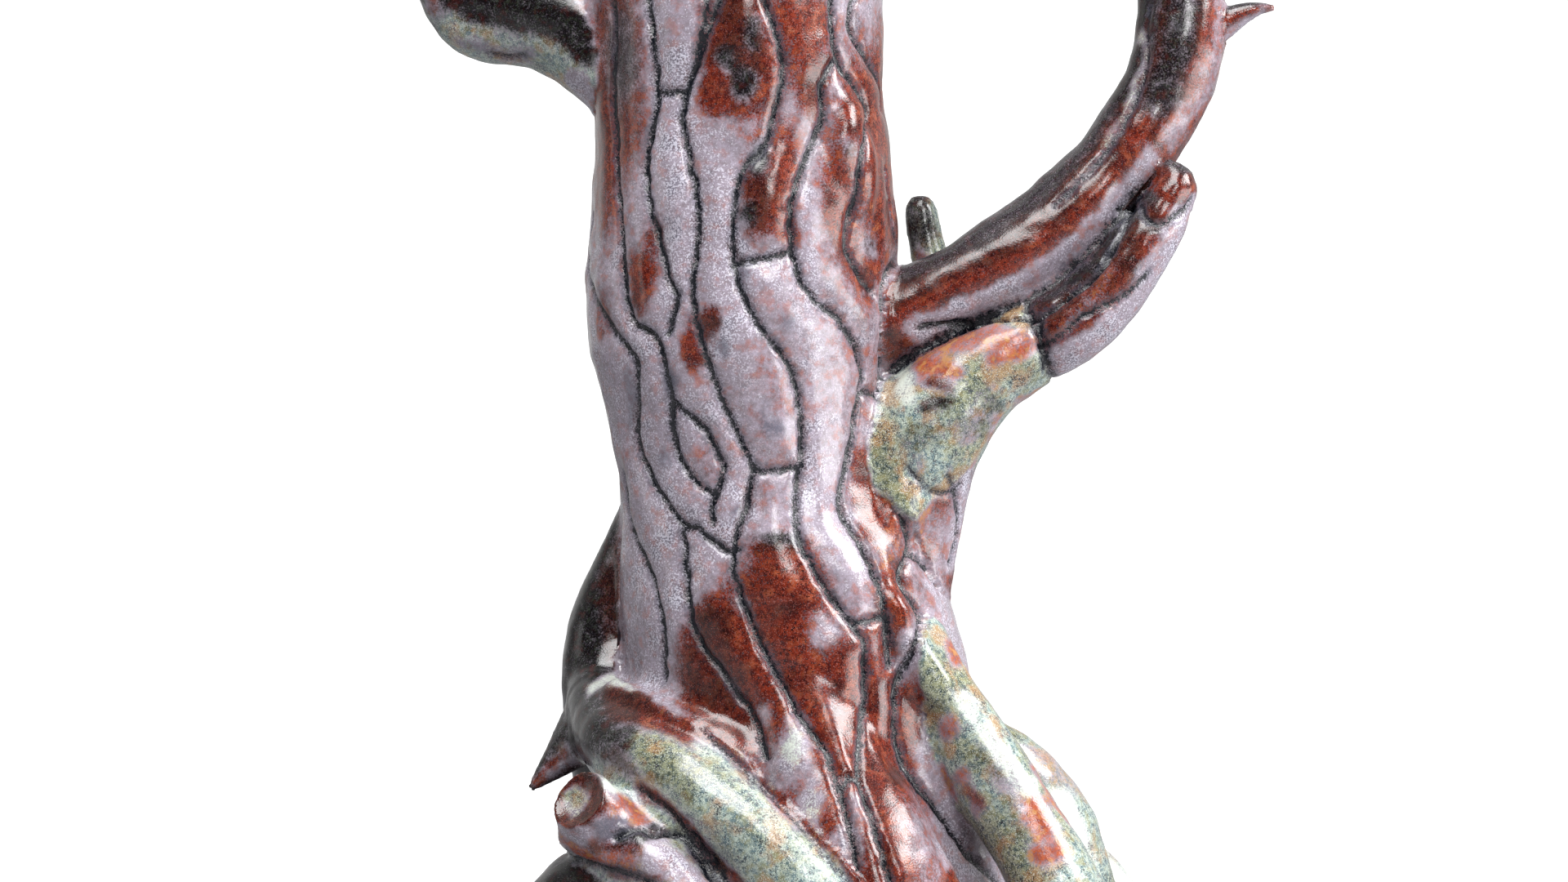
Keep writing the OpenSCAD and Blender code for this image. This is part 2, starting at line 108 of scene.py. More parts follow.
# Joints that were pressed in with a tool and show as a dark line. All others were smoothed over.
PRESSED_JOINTS = {
    frozenset(pair) for pair in (
        ("limb_right_main", "limb_collar"), ("limb_right_main", "limb_right_stub"),
        ("limb_collar", "limb_right_stub"),
        ("root_back", "trunk_shell"), ("root_back_right", "trunk_shell"), ("crown_front", "trunk_shell"),
        ("crown_left", "crown_right"), ("limb_back", "trunk_shell"),
    )
}

# Bark lines carved on the front of the trunk, in millimetres, as (x, z) seen from the front.
FRONT_LINES = [
    [(-33, 224), (-31, 204), (-33, 188), (-29, 169), (-27, 165), (-29, 158)],
    [(-31, 204), (-25, 204)],
    [(-18, 224), (-22, 212), (-26, 200), (-23, 182), (-24, 164), (-19, 147), (-13, 134),
     (-13, 128), (-16, 112), (-6, 90), (1, 80), (4, 72)],
    [(-11, 224), (-7, 212), (-7, 205), (-10, 194), (-15, 187), (-16, 172), (-12, 161),
     (-6, 153), (-4, 148), (-3, 138), (-4, 121), (1, 111), (7, 102), (9, 97), (8, 74)],
    [(4, 72), (6, 75), (8, 74)],
    [(4, 72), (6, 64), (7, 56), (5, 46)],
    [(8, 74), (11, 64), (14, 54), (20, 42)],
    [(3, 226), (4, 211), (9, 204), (10, 199), (8, 187), (6, 176), (7, 172), (11, 166)],
    [(8, 226), (7, 217), (12, 209), (13, 203)],
    [(4, 211), (1, 206), (1, 199), (-3, 189), (-5, 181), (-4, 171), (-1, 165), (5, 160),
     (9, 152), (9, 147)],
    [(-16, 171), (-11, 172), (-6, 173)],
    [(-40, 222), (-39, 190), (-37, 163), (-31, 157), (-28, 146), (-28, 138)],
    [(-44, 190), (-45, 170), (-40, 159), (-35, 152), (-35, 138), (-32, 130), (-26, 122),
     (-23, 121), (-18, 117), (-15, 117)],
    [(14, 190), (16, 175), (13, 166), (13, 148), (9, 146), (6, 132), (5, 125), (9, 117),
     (12, 109), (14, 95)],
    [(7, 103), (13, 104)],
    [(-12, 132), (-8, 132), (-3, 133)],
    [(-28, 145), (-23, 141), (-20, 137), (-18, 132), (-20, 126), (-20, 122)],
    [(-28, 145), (-28, 140), (-26, 133), (-20, 127)],
    [(-38, 131), (-37, 122), (-32, 110), (-30, 102), (-30, 92)],
    [(-26, 120), (-24, 102), (-18, 93), (-13, 86), (-10, 78)],
    [(15, 134), (15, 128), (18, 118), (16, 112), (19, 106), (20, 102), (16, 94), (15, 86),
     (17, 76), (24, 66), (31, 57), (38, 50)],
    [(18, 116), (21, 114), (24, 110)],
    [(-25, 204), (-23, 212), (-21, 224), (-24, 240)],
    [(-33, 224), (-32, 238), (-35, 250)],
    [(-11, 224), (-13, 238), (-10, 250)],
    [(3, 226), (-1, 240), (1, 252)],
]

# Lines carved on other pieces, seen from the front: depth as a share of a bark line's, then
# (x, z) in millimetres.
OTHER_LINES = [
    (1.5, [(20, 159.5), (32, 160.7), (43, 162), (48, 165.5), (54, 170.3), (58, 177.5), (61.4, 186)]),
    (0.8, [(44, 155.5), (47, 158), (51, 161.5), (57, 164.4), (61, 167), (64, 170)]),
    (0.9, [(43, 161), (43.6, 156), (44.5, 151)]),
    (0.9, [(62, 184), (63.5, 180.5), (66.5, 179.5), (70, 181.5), (72.5, 184)]),
    (0.6, [(25, 131), (27, 127), (27.4, 121), (26, 114)]),
    (0.5, [(17, 133), (21, 128.5), (25, 127.5), (28, 129)]),
    (0.8, [(-34, 72), (-30, 69.5), (-26, 66), (-20, 59), (-15, 53), (-9, 45)]),
    (1.1, [(-38, 63.5), (-34, 65), (-31, 64), (-26, 63.7), (-23, 61), (-19, 56)]),
    (0.8, [(-50, 62), (-46, 59), (-41, 57.5), (-33, 56), (-27, 53)]),
    (0.3, [(-22, 83), (-15, 76.4), (-6.4, 68.2), (1.3, 60), (7.4, 53.5)]),
    (0.5, [(-64, 213.4), (-60, 213), (-57, 213)]),
    (0.5, [(46, 183), (54, 191), (60, 200), (64, 210), (65, 222)]),
]

# Middles of the limbs that bark lines run up, in millimetres: (x, y, z, radius).
BARKED_LIMBS = [
    [(-24, -1, 242, 18), (-34, -3, 266, 15), (-43, -5, 284, 12.4), (-48, -6, 303, 10.4),
     (-52, -7, 321, 8.6)],
    [(-9, 0, 242, 17.6), (4, 0, 264, 14.8), (17, -1, 280, 12.4), (27, -2, 297, 10.4), (30, -3, 315, 8.6)],
    [(-13, 9, 245, 14.6), (-10, 22, 265, 12.2), (-8, 33, 282, 10.2), (-12, 43, 300, 8.4)],
    [(-15, -9, 245, 12.4), (-9, -22, 264, 10.2), (-5, -32, 281, 8.4), (-9, -39, 298, 7)],
    [(-10, 29, 195, 9.6), (-6, 41, 202, 8.2), (0, 52, 213, 7.2), (4, 59, 228, 6.2)],
]

# The trunk spreads forward at its foot, in millimetres: (x, y, z, radius).
FLARE = [
    (-3, -14, 98, 14), (-3, -18, 89, 14), (-2, -22, 80, 14.4), (2, -26, 70, 15), (7, -30, 60, 15.4),
    (11, -33, 50, 16),
]

# Soft clay rubbed into the joints, and built up on the trunk and on the left limb, in
# millimetres: (x, y, z, radius) along each one.
SLIP = [
    [(36, -4, 162.5, 3.4), (44, -4.5, 165, 3.6), (50, -5, 169, 3.6), (56, -5, 177, 3.4), (60, -5, 184, 3),
     (64, -5, 190, 2.4)],
    [(-38, -12, 88, 4), (-31, -19, 86, 4), (-21, -26, 81.5, 4.6), (-12, -29.5, 76, 4.8),
     (-3, -32, 67.5, 4.8), (5, -34.5, 57, 4.8), (12, -38, 46, 4.6)],
    [(-41, 6, 93, 7), (-42, 3, 88, 7.2), (-41, -4, 84, 7.8), (-37, -14, 80, 8.2)],
    [(-37, -27, 73, 3.6), (-31, -32, 68, 3.6), (-24, -36, 61, 3.4), (-16, -39, 54, 3.2)],
    [(-43, -30, 58, 4), (-32, -34, 54, 4), (-22, -37, 50, 4)],
    [(-41, -34, 66, 6.4), (-44, -35, 69, 6.2)],
    [(-41, -9, 79.5, 5.6), (-45, -4, 79, 4.6), (-48.5, -3, 76.2, 3.2), (-51, -3.4, 74, 2.2)],
    FLARE,
    [(-38, 0, 217, 9.5), (-48, 1, 220, 8.8), (-56, 2, 222.4, 8.2), (-63.5, 3, 223.4, 7.8),
     (-69.5, 3, 227, 7), (-74, 2, 238, 5.6)],
    [(2, -14, 203, 6), (4, -16, 196, 7), (5, -16.4, 189, 6.6), (5, -15, 181, 6)],
    [(14, -22, 106, 4), (18, -22, 98, 4.4), (23, -23, 90, 4.6)],
    [(12, -14, 118, 6), (16, -12, 128, 6), (18, -8, 140, 6)],
]

# Sawn ends: (x, y, z) on the cut, the way it faces, its radius and how far it is hollowed.
SAWN = [
    ((-45.2, -36.4, 70.4), (-0.5, -0.72, 0.48), 8.5, 1.6),
    ((-31.6, 39.4, 164.4), (-0.3, 0.62, 0.72), 9, 1.6),
]

# What each brushed glaze is made of: rust, celadon, dark, orange, olive, milk, dust, slate. The milk brush
# is milky glaze in places and a painted highlight in others.
BRUSHES = {
    "lavender": (0, 0, 0, 0, 0, 0, 0, 0),
    "slate": (0, 0, 0, 0, 0, 0, 0, 1),
    "rust": (1, 0, 0, 0, 0, 0, 0, 0),
    "maroon": (1, 0, 0.62, 0, 0, 0, 0, 0),
    "blush": (0.42, 0, 0, 0, 0, 0, 0, 0),
    "orange": (0.3, 0, 0, 1, 0, 0, 0, 0),
    "celadon": (0, 1, 0, 0, 0, 0, 0, 0),
    "olive": (0, 1, 0, 0, 1, 0, 0, 0),
    "bottle": (0, 0.6, 0.9, 0, 0.7, 0, 0, 0),
    "milk_and_highlight": (0, 0.6, 0, 0, 0, 1, 0, 0),
    "dark": (0, 0, 1, 0, 0, 0, 0, 0),
    "dusk": (0.4, 0, 0.95, 0, 0, 0, 0.4, 0),
}
CHANNELS = len(BRUSHES["rust"])

# Dabs of glaze on the front of the trunk, in millimetres: glaze, strength, (x, z), half
# width, half height. A few pale dabs low on the front are painted highlight.
TRUNK_DABS = [
    ("rust", 0.85, (-8, 90), 16, 28), ("rust", 0.85, (8, 70), 18, 26), ("rust", 0.8, (14, 120), 7, 34),
    ("rust", 0.85, (8, 190), 9, 32), ("rust", 0.7, (-12, 212), 10, 18), ("rust", 0.75, (-40, 206), 7, 24),
    ("lavender", 0.9, (-28, 110), 9, 24), ("lavender", 0.7, (2, 122), 6, 8),
    ("blush", 0.8, (-9, 140), 9, 22), ("blush", 0.9, (-20, 135), 3.5, 9), ("blush", 0.9, (5, 150), 5, 24),
    ("blush", 0.8, (-38, 186), 5, 9), ("blush", 0.8, (-33, 172), 5, 10), ("blush", 0.9, (-5, 194), 3, 12),
    ("rust", 0.85, (-38, 208), 5, 18), ("dusk", 0.8, (-37.5, 211), 4, 12),
    ("rust", 0.7, (-41, 190), 2.4, 14), ("rust", 1.0, (-33.5, 168), 3, 6.5),
    ("rust", 0.6, (-41, 161), 2, 5), ("maroon", 0.7, (-31, 176), 2, 4), ("rust", 1.0, (-16, 214), 6.5, 12),
    ("maroon", 1.0, (-15, 211), 6.5, 10), ("maroon", 0.9, (-17, 221), 5, 5),
    ("dark", 0.9, (-14.5, 205.5), 2.8, 3), ("dark", 0.8, (-17.5, 210), 2, 2.6),
    ("dark", 0.7, (-12, 215), 2, 4), ("rust", 0.9, (-20, 204), 3, 5),
    ("maroon", 1.0, (-10.5, 185), 4.6, 10.5), ("rust", 0.9, (-6, 190), 3, 8),
    ("dark", 0.85, (-11, 191), 2.2, 3), ("dark", 0.8, (-13, 181), 1.8, 3),
    ("rust", 0.9, (-6, 178), 2.6, 4.5), ("maroon", 0.9, (0, 207), 4, 8), ("rust", 0.9, (-2, 218), 5, 8),
    ("blush", 0.9, (3, 200), 2.4, 10), ("rust", 1.0, (9, 186), 6.5, 18), ("orange", 0.4, (9, 180), 3, 8),
    ("rust", 0.8, (13, 204), 3, 14), ("dark", 0.6, (6, 193), 2, 2.6), ("dark", 0.6, (10, 175), 1.8, 3),
    ("maroon", 0.7, (3, 184), 2, 5), ("rust", 1.0, (-23.8, 156), 2.5, 6.2),
    ("maroon", 1.0, (-20.4, 160), 2.4, 3), ("slate", 0.7, (-18, 155), 1.8, 2.8),
    ("slate", 0.8, (-27.5, 149), 1.8, 3.4), ("slate", 0.6, (-6, 160), 2.6, 3),
    ("slate", 0.8, (-8.5, 139.5), 3, 2.6), ("slate", 0.5, (-10, 144), 2, 3),
    ("slate", 0.7, (-14, 170), 2, 4), ("slate", 0.6, (-29, 134), 2, 3), ("slate", 0.6, (-36, 146), 1.6, 8),
    ("slate", 0.7, (4, 113), 2.4, 3.6), ("slate", 0.6, (-15, 124), 2.4, 3),
    ("rust", 0.8, (10, 128), 4.5, 9), ("maroon", 1.0, (9.4, 131.5), 2.4, 2.8),
    ("rust", 0.7, (14, 140), 2.4, 12), ("orange", 0.5, (13, 116), 3, 5), ("rust", 0.8, (15, 106), 3, 8),
    ("blush", 0.8, (19, 116), 4, 8), ("rust", 1.0, (-5.5, 112), 6.5, 7.5), ("rust", 1.0, (-9, 100), 11, 14),
    ("rust", 1.0, (-18, 94), 8, 14), ("rust", 1.0, (-3, 86), 10, 14), ("maroon", 1.0, (-7, 118), 6.5, 2.6),
    ("maroon", 1.0, (-20, 104), 4, 3.4), ("maroon", 0.9, (-23, 94), 4.6, 10),
    ("maroon", 0.8, (-6, 106), 3.6, 4), ("maroon", 0.9, (-17, 90), 5, 10), ("maroon", 0.7, (-3, 92), 3, 4),
    ("dark", 0.6, (-14, 106), 2.4, 1.6), ("dark", 0.8, (-7, 119.5), 5, 1.4),
    ("blush", 0.8, (1.2, 100.5), 4, 4.5), ("lavender", 0.6, (1.2, 101), 2.4, 3),
    ("blush", 0.7, (3, 88), 3, 5), ("lavender", 0.8, (7, 113), 4, 7), ("blush", 0.9, (9, 108), 3, 5),
    ("rust", 0.9, (6, 92), 4, 9), ("rust", 1.0, (10, 78), 6, 12), ("maroon", 1.0, (14.6, 74), 2.6, 3.4),
    ("rust", 0.9, (0, 66), 8, 14), ("blush", 0.9, (-8, 74), 5, 8), ("rust", 0.9, (18, 86), 3, 5),
    ("lavender", 0.9, (22, 78), 3, 7), ("lavender", 0.9, (26, 66), 3.4, 8), ("blush", 0.8, (18, 62), 5, 8),
    ("rust", 0.8, (12, 56), 6, 10), ("lavender", 0.7, (7, 66), 2, 8), ("maroon", 0.6, (3, 56), 3, 6),
    # Painted highlight, partly: the milk and lavender dabs from x -10 to 4, z 61 to 86, whiten the lower
    # trunk where the lamps glare.
    ("lavender", 0.8, (17, 97), 2.4, 5), ("lavender", 0.8, (-4, 80), 3, 6), ("milk_and_highlight", 0.7, (-5, 80), 2, 5),
    ("lavender", 0.6, (-10, 86), 2, 3), ("lavender", 0.7, (-1, 70), 2.6, 7),
    ("milk_and_highlight", 0.5, (-1, 69), 1.4, 5), ("lavender", 0.6, (4, 61), 2.4, 6),
]

# Brush strokes seen from the front: pieces, then glaze, strength, half width and (x, z). Some milk strokes
# are painted highlights.
STROKES = {
    "limb_right_main": [
        ("maroon", 1.0, 14, [(12, 165), (40, 178), (62, 205), (70, 235)]),
        ("lavender", 0.95, 3.2, [(20, 160), (34, 165), (46, 171), (56, 180), (63, 192)]),
        ("blush", 0.8, 1.4, [(28, 161), (38, 165.5), (48, 171), (57, 181)]),
        ("dusk", 1.0, 6, [(12, 171), (22, 175.5), (32, 180), (42, 187), (50, 197), (57, 209), (62, 222)]),
        ("maroon", 1.0, 2.6, [(14, 165), (24, 169), (36, 175), (48, 184), (58, 196), (64, 209)]),
        ("rust", 0.8, 1.4, [(15, 161), (26, 166), (38, 171.5), (50, 180), (60, 191), (66, 204)]),
        ("dark", 1.0, 2.6, [(60, 206), (64, 216), (65, 226), (63, 238)]),
        ("maroon", 1.0, 3, [(66, 206), (69, 216), (70, 226), (67, 240)]),
        ("maroon", 0.8, 2.2, [(70, 208), (74, 218), (75, 228), (72, 240)]),
        ("dark", 0.6, 3, [(66, 203), (70, 212), (71.5, 222), (71, 234)]),
        ("rust", 0.7, 1, [(73, 206), (77, 218), (78, 228)]),
        ("blush", 0.9, 2.2, [(69, 196), (76, 206), (79.5, 218), (80, 230)]),
        # Painted highlight: a thin pale line of milk glaze along the limb's crest, where a lamp glints.
        ("milk_and_highlight", 0.45, 0.7, [(55, 193), (60, 201), (63.5, 210), (64, 218)]),
    ],
    "limb_right_stub": [
        ("maroon", 1.0, 3.4, [(43, 160), (50, 163), (56, 170), (61, 178)]),
        ("orange", 0.5, 1.2, [(47, 160), (53, 165), (57, 171)]),
        ("dark", 0.9, 1.2, [(50, 168), (56, 174), (61, 182)]),
        ("lavender", 1.0, 2.6, [(46, 152.5), (54, 157), (62, 164), (68, 174), (71, 181)]),
        ("dark", 0.8, 0.9, [(64.5, 180), (66, 178.5)]),
    ],
    "stub_bud": [
        ("rust", 0.9, 3, [(66, 188), (69, 185)]),
        ("lavender", 0.8, 1.2, [(70, 181), (73, 185)]),
    ],
    "limb_collar": [
        ("olive", 0.8, 3.4, [(17, 156), (30, 158), (42, 158)]),
        ("orange", 0.8, 3.4, [(19, 156), (27, 158), (34, 157.5), (40, 156)]),
        ("orange", 1.0, 2.6, [(21, 151), (26, 151)]),
        ("bottle", 0.7, 1.6, [(27, 148), (32, 147), (35, 144)]),
        ("celadon", 0.9, 2, [(17, 147), (18, 141), (21, 137)]),
        ("orange", 0.9, 1.5, [(34, 153), (40, 154.5)]),
        ("maroon", 0.8, 1.2, [(22, 149), (26, 148)]),
        ("bottle", 1.0, 1.5, [(20.5, 144.2), (25, 145)]),
        ("bottle", 0.55, 3.2, [(18, 138), (25, 139), (31, 141)]),
        ("olive", 0.8, 1.8, [(28, 148.5), (36, 150.5), (42, 152)]),
        # Painted highlight: milk glaze on the collar's left edge, where a lamp glints.
        ("milk_and_highlight", 0.8, 1.6, [(17, 150), (17.6, 146)]),
        ("olive", 0.7, 1, [(26, 137), (27, 131.5)]),
        ("orange", 0.5, 1, [(20, 134), (19, 130)]),
    ],
    "limb_buttress": [
        ("celadon", 0.9, 2.2, [(20.6, 135), (22, 128.5)]),
        ("orange", 0.7, 2.2, [(21, 128), (19.5, 120)]),
        ("rust", 0.8, 2, [(17, 122), (19, 110), (18, 102)]),
        ("lavender", 0.9, 2.4, [(28, 132), (28, 122), (26, 114)]),
        ("blush", 0.9, 2, [(24, 122), (23, 108)]),
    ],
    "root_front_left": [
        ("dark", 1.0, 9, [(-48, 84), (-42, 90), (-34, 92)]),
        ("bottle", 0.9, 5.4, [(-42, 84), (-38, 84), (-35, 80)]),
        ("maroon", 1.0, 4, [(-38, 88), (-32, 87), (-26, 84)]),
        ("rust", 0.9, 2, [(-32, 83.5), (-28, 82.5), (-24, 79.5)]),
        ("orange", 0.4, 1, [(-30, 87), (-26, 85.5), (-22, 82.5)]),
        ("maroon", 0.6, 2.4, [(-38, 78), (-33, 75)]),
        ("olive", 0.9, 4, [(-31, 79), (-26, 76), (-20, 69)]),
        ("bottle", 0.5, 1.8, [(-30, 74), (-24, 69), (-17, 61)]),
        ("celadon", 1.0, 3.4, [(-20, 71), (-12, 63), (-3, 54)]),
        # Painted highlight, partly: pale milk glaze along the root's top, under the long glare of the
        # overhead lamp.
        ("milk_and_highlight", 0.5, 1.8, [(-22, 80), (-15, 73), (-7, 65), (1, 57)]),
        ("milk_and_highlight", 0.45, 1.6, [(-29, 71), (-23, 66), (-17, 58), (-12, 52)]),
        ("olive", 0.5, 1.8, [(-20, 76), (-13, 68), (-5, 59)]),
        ("rust", 1.0, 1.1, [(-33, 72), (-27, 67.5), (-21, 60.5), (-15, 54)]),
        ("rust", 0.9, 2.2, [(-24, 86), (-14, 78.4), (-5, 70), (3.4, 61.6), (10, 54)]),
        ("milk_and_highlight", 0.7, 0.7, [(-44, 89), (-40, 91.6), (-35, 91), (-25, 87.8), (-12, 77), (-5, 71),
                            (6, 60.6)]),
    ],
    "root_thorn": [
        ("bottle", 0.9, 3, [(-46, 83), (-50, 78)]),
        ("rust", 0.8, 1, [(-55, 71), (-51, 75.5), (-47, 78.5)]),
        ("lavender", 0.6, 0.9, [(-52, 72.5), (-46, 76)]),
    ],
    "root_left_rear": [
        # Near black glaze, partly painted shade: the left rear root sits in shadow behind the trunk.
        ("dark", 1.0, 8, [(-36, 124), (-43, 104), (-42, 94)]),
        ("maroon", 0.8, 2.6, [(-38, 118), (-41, 106), (-40, 96)]),
        ("milk_and_highlight", 0.6, 1.2, [(-38, 92.5), (-42, 90), (-45, 86), (-45, 80)]),
        ("bottle", 0.6, 2, [(-46, 100), (-47, 90)]),
    ],
    "root_mound": [
        # Near black glaze, partly painted shade: the mound lies low, where little light reaches.
        ("dark", 1.0, 12, [(-60, 50), (-46, 58), (-30, 54)]),
        ("maroon", 0.5, 2, [(-52, 60), (-42, 61), (-34, 57)]),
    ],
    "root_cut_stub": [
        ("maroon", 0.9, 9, [(-44, 68), (-38, 66)]),
        ("milk_and_highlight", 0.6, 2.0, [(-46.5, 70), (-45, 69)]),
        ("olive", 0.8, 1.6, [(-47, 71.5), (-45, 70.5)]),
        ("maroon", 1.0, 0.8, [(-49, 72), (-46, 74.5), (-42, 74), (-40, 70), (-42, 66), (-47, 65.5),
                              (-49.5, 69)]),
        # Painted highlight: a full-strength milk streak on the stub's body, where a lamp glints.
        ("milk_and_highlight", 1.0, 2.2, [(-38.5, 74), (-34, 70)]),
        ("orange", 0.9, 2.2, [(-37, 69), (-34, 67.5), (-31, 66)]),
        ("slate", 0.8, 2.0, [(-41, 64.5), (-37, 65.5)]),
        ("dark", 0.9, 1.1, [(-37, 63.7), (-31, 64.5), (-26, 63.7), (-22, 60)]),
        ("lavender", 1.0, 1.1, [(-49, 65), (-44, 63.8)]),
        ("orange", 0.9, 1.5, [(-48, 62), (-42, 59.5), (-36, 59)]),
        ("lavender", 0.9, 3, [(-30, 60), (-24, 56), (-18, 50)]),
        ("maroon", 0.8, 1.2, [(-38, 57), (-30, 56)]),
    ],
    "root_right": [
        ("orange", 0.9, 1.6, [(25.5, 98.5), (27, 96)]),
        ("olive", 0.8, 1.4, [(22, 97), (23.5, 92)]),
        ("orange", 0.8, 1.8, [(24.5, 84), (26, 80.8)]),
        ("olive", 0.8, 2.2, [(27, 79), (31, 76.5)]),
        ("bottle", 0.45, 2.6, [(31, 78), (37, 70), (42, 60)]),
        ("rust", 0.8, 1.4, [(28, 71.5), (31.5, 68.5)]),
        ("orange", 1.0, 2.5, [(41, 67.6), (42.6, 65)]),
        ("orange", 1.0, 2.3, [(42, 59.8), (45, 60.6)]),
        # Painted highlight: a streak of milk glaze along the root, where the lamp's glare runs.
        ("milk_and_highlight", 0.7, 1.8, [(27, 88), (33, 80), (40, 72)]),
    ],
    "root_right_rear": [
        ("orange", 0.45, 3, [(42, 75.5), (47, 73.5), (50, 69)]),
        ("milk_and_highlight", 0.9, 4, [(47, 66), (51, 58)]),
    ],
    "root_far_right": [("milk_and_highlight", 0.9, 8, [(50, 52), (62, 44), (70, 30)])],
    "limb_left": [
        ("dark", 1.0, 8, [(-38, 216), (-52, 220), (-62, 222), (-70, 227), (-74, 238)]),
        ("bottle", 0.6, 3, [(-44, 213), (-56, 219), (-66, 221), (-72, 228)]),
        ("rust", 0.6, 1.2, [(-75, 222), (-77, 230)]),
        ("celadon", 0.6, 2.2, [(-71, 218.5), (-64, 215.5), (-56, 215.5), (-50, 212), (-45, 206)]),
        ("slate", 0.6, 1.2, [(-70, 216), (-63, 213.6), (-56, 213.4)]),
        ("lavender", 0.9, 1.6, [(-47, 208), (-43, 202), (-42, 196)]),
    ],
    "twig_rear_stub": [
        ("bottle", 0.9, 3.4, [(20, 187), (20.5, 178)]),
        ("rust", 0.8, 2, [(21, 174), (23, 170)]),
        ("maroon", 0.6, 1.2, [(20, 188), (22, 187)]),
    ],
}


def linear(hex_colour):
    """An sRGB hex value as linear red, green, blue."""
    channels = [int(hex_colour[i:i + 2], 16) / 255 for i in (1, 3, 5)]
    return tuple(c / 12.92 if c <= 0.04045 else ((c + 0.055) / 1.055) ** 2.4 for c in channels)


def colour_prop(name, description, hex_colour):
    return FloatVectorProperty(
        name=name, description=description, subtype="COLOR", min=0, max=1, default=linear(hex_colour))


def length_prop(name, description, value):
    return FloatProperty(name=name, description=description, default=value * MM, unit="LENGTH", min=0)


class ClaySizes(bpy.types.PropertyGroup):
    """Sizes of the clay work, in metres."""
    skin_step: length_prop("Skin step", "Spacing of the glaze skin's points", 0.79)
    draft_step: length_prop("Draft step", "Spacing of the skin's points while trying things", 1.1)
    plug_out: length_prop("Vent distance", "Distance of the vent hole from the foot's middle", 20)
    plug_radius: length_prop("Vent plug", "Radius of the plug that closes the vent hole inside", 7.5)
    line_width: length_prop("Line width", "Half width of a carved bark line", 0.7)
    line_depth: length_prop("Line depth", "Depth of a carved bark line", 1.15)
    plate_width: length_prop("Plate shoulder", "How far a bark plate rounds off beside a line", 3.2)
    plate_depth: length_prop("Plate drop", "How far a bark plate drops towards a line", 0.75)
    lump_height: length_prop("Lumps", "Height of the unevenness that fingers leave", 1.0)
    lump_size: length_prop("Lump size", "Distance between finger marks", 14)
    wobble_height: length_prop("Wobble", "Height of the fine unevenness of the clay", 0.16)
    wobble_size: length_prop("Wobble size", "Distance between the fine bumps", 3.4)
    plump: length_prop("Plumpness", "How far limbs and roots swell once smoothing has thinned them", 0.45)
    smoothing: IntProperty(name="Smoothing", description="Passes that smooth the luted joints",
                           default=22, min=0, max=80)


class GlazeColours(bpy.types.PropertyGroup):
    """Colours of the glazes."""
    mauve: colour_prop("Mauve", "Body of the speckled lavender glaze", "#7A6F76")
    lavender: colour_prop("Lavender", "Light of the speckled lavender glaze", "#9A919E")
    blush: colour_prop("Blush", "Salmon where the lavender glaze runs thin", "#99625A")
    slate: colour_prop("Slate", "Blue grey where the lavender glaze pools", "#4B4C59")
    frost: colour_prop("Frost", "Fine crystals in the lavender glaze", "#C9C6D2")
    rust: colour_prop("Rust", "Copper red, thin", "#702818")
    oxblood: colour_prop("Oxblood", "Copper red, thick", "#3C100D")
    ember: colour_prop("Ember", "Orange where the copper red breaks", "#984A2C")
    ink: colour_prop("Ink", "Near black where the glaze pools", "#0B0608")
    navy: colour_prop("Navy", "Carved lines filled with glaze", "#11131B")
    celadon: colour_prop("Celadon", "Pale green glaze", "#9DAAA0")
    # Milk is also the colour of the painted highlights brushed on with the milk brush.
    milk_and_highlight: colour_prop("Milk", "Milky green where the pale glaze is thick", "#C9D0C6")
    ochre: colour_prop("Ochre", "Iron-rich ochre patches in the pale green glaze", "#A47446")
    moss: colour_prop("Moss", "Olive mottles in the pale green glaze", "#7A7852")
    pond: colour_prop("Pond", "Blue-grey mottles in the pale green glaze", "#5B7075")
    bottle: colour_prop("Bottle", "Dark green on the tops of the limbs", "#23281F")
    clay: colour_prop("Clay", "Bare fired clay at the foot", "#8A6B50")
    grog: colour_prop("Grog", "Light grains in the bare clay", "#B79A7A")


class ClayTreeSettings(bpy.types.PropertyGroup):
    """All settings of the clay tree."""
    sizes: PointerProperty(type=ClaySizes)
    colours: PointerProperty(type=GlazeColours)


def sizes():
    return bpy.context.scene.clay_tree.sizes


def deselect():
    if bpy.context.object and bpy.context.object.mode != "OBJECT":
        bpy.ops.object.mode_set(mode="OBJECT")
    bpy.ops.object.select_all(action="DESELECT")


def activate(*objects):
    """Only these are selected, and the first is active."""
    deselect()
    for ob in objects:
        ob.select_set(True)
    bpy.context.view_layer.objects.active = objects[0]


def finish_modifier(ob, kind, **settings):
    """Adds a modifier with its settings and applies it."""
    activate(ob)
    bpy.ops.object.modifier_add(type=kind)
    modifier = ob.modifiers[-1]
    for name, value in settings.items():
        setattr(modifier, name, value)
    bpy.ops.object.modifier_apply(modifier=modifier.name)


def read_points(mesh, field="co"):
    found = np.empty(len(mesh.vertices) * 3, np.float32)
    mesh.vertices.foreach_get(field, found)
    return found.reshape(-1, 3).astype(float)


def read_whole(items, field, width=1):
    """Whole numbers from a mesh's edges, faces or corners."""
    found = np.empty(len(items) * width, np.int32)
    items.foreach_get(field, found)
    return found


def read_directions(mesh, name):
    found = np.empty(len(mesh.vertices) * 3, np.float32)
    mesh.attributes[name].data.foreach_get("vector", found)
    return found.reshape(-1, 3)


def write_points(mesh, points):
    mesh.vertices.foreach_set("co", points.astype(np.float32).ravel())
    mesh.update()


def read_numbers(mesh, name):
    found = np.empty(len(mesh.vertices), np.float32)
    mesh.attributes[name].data.foreach_get("value", found)
    return found


def numbers(names):
    """The places of these nodes in the list of all of them."""
    return [NODE_NAMES.index(name) for name in names]


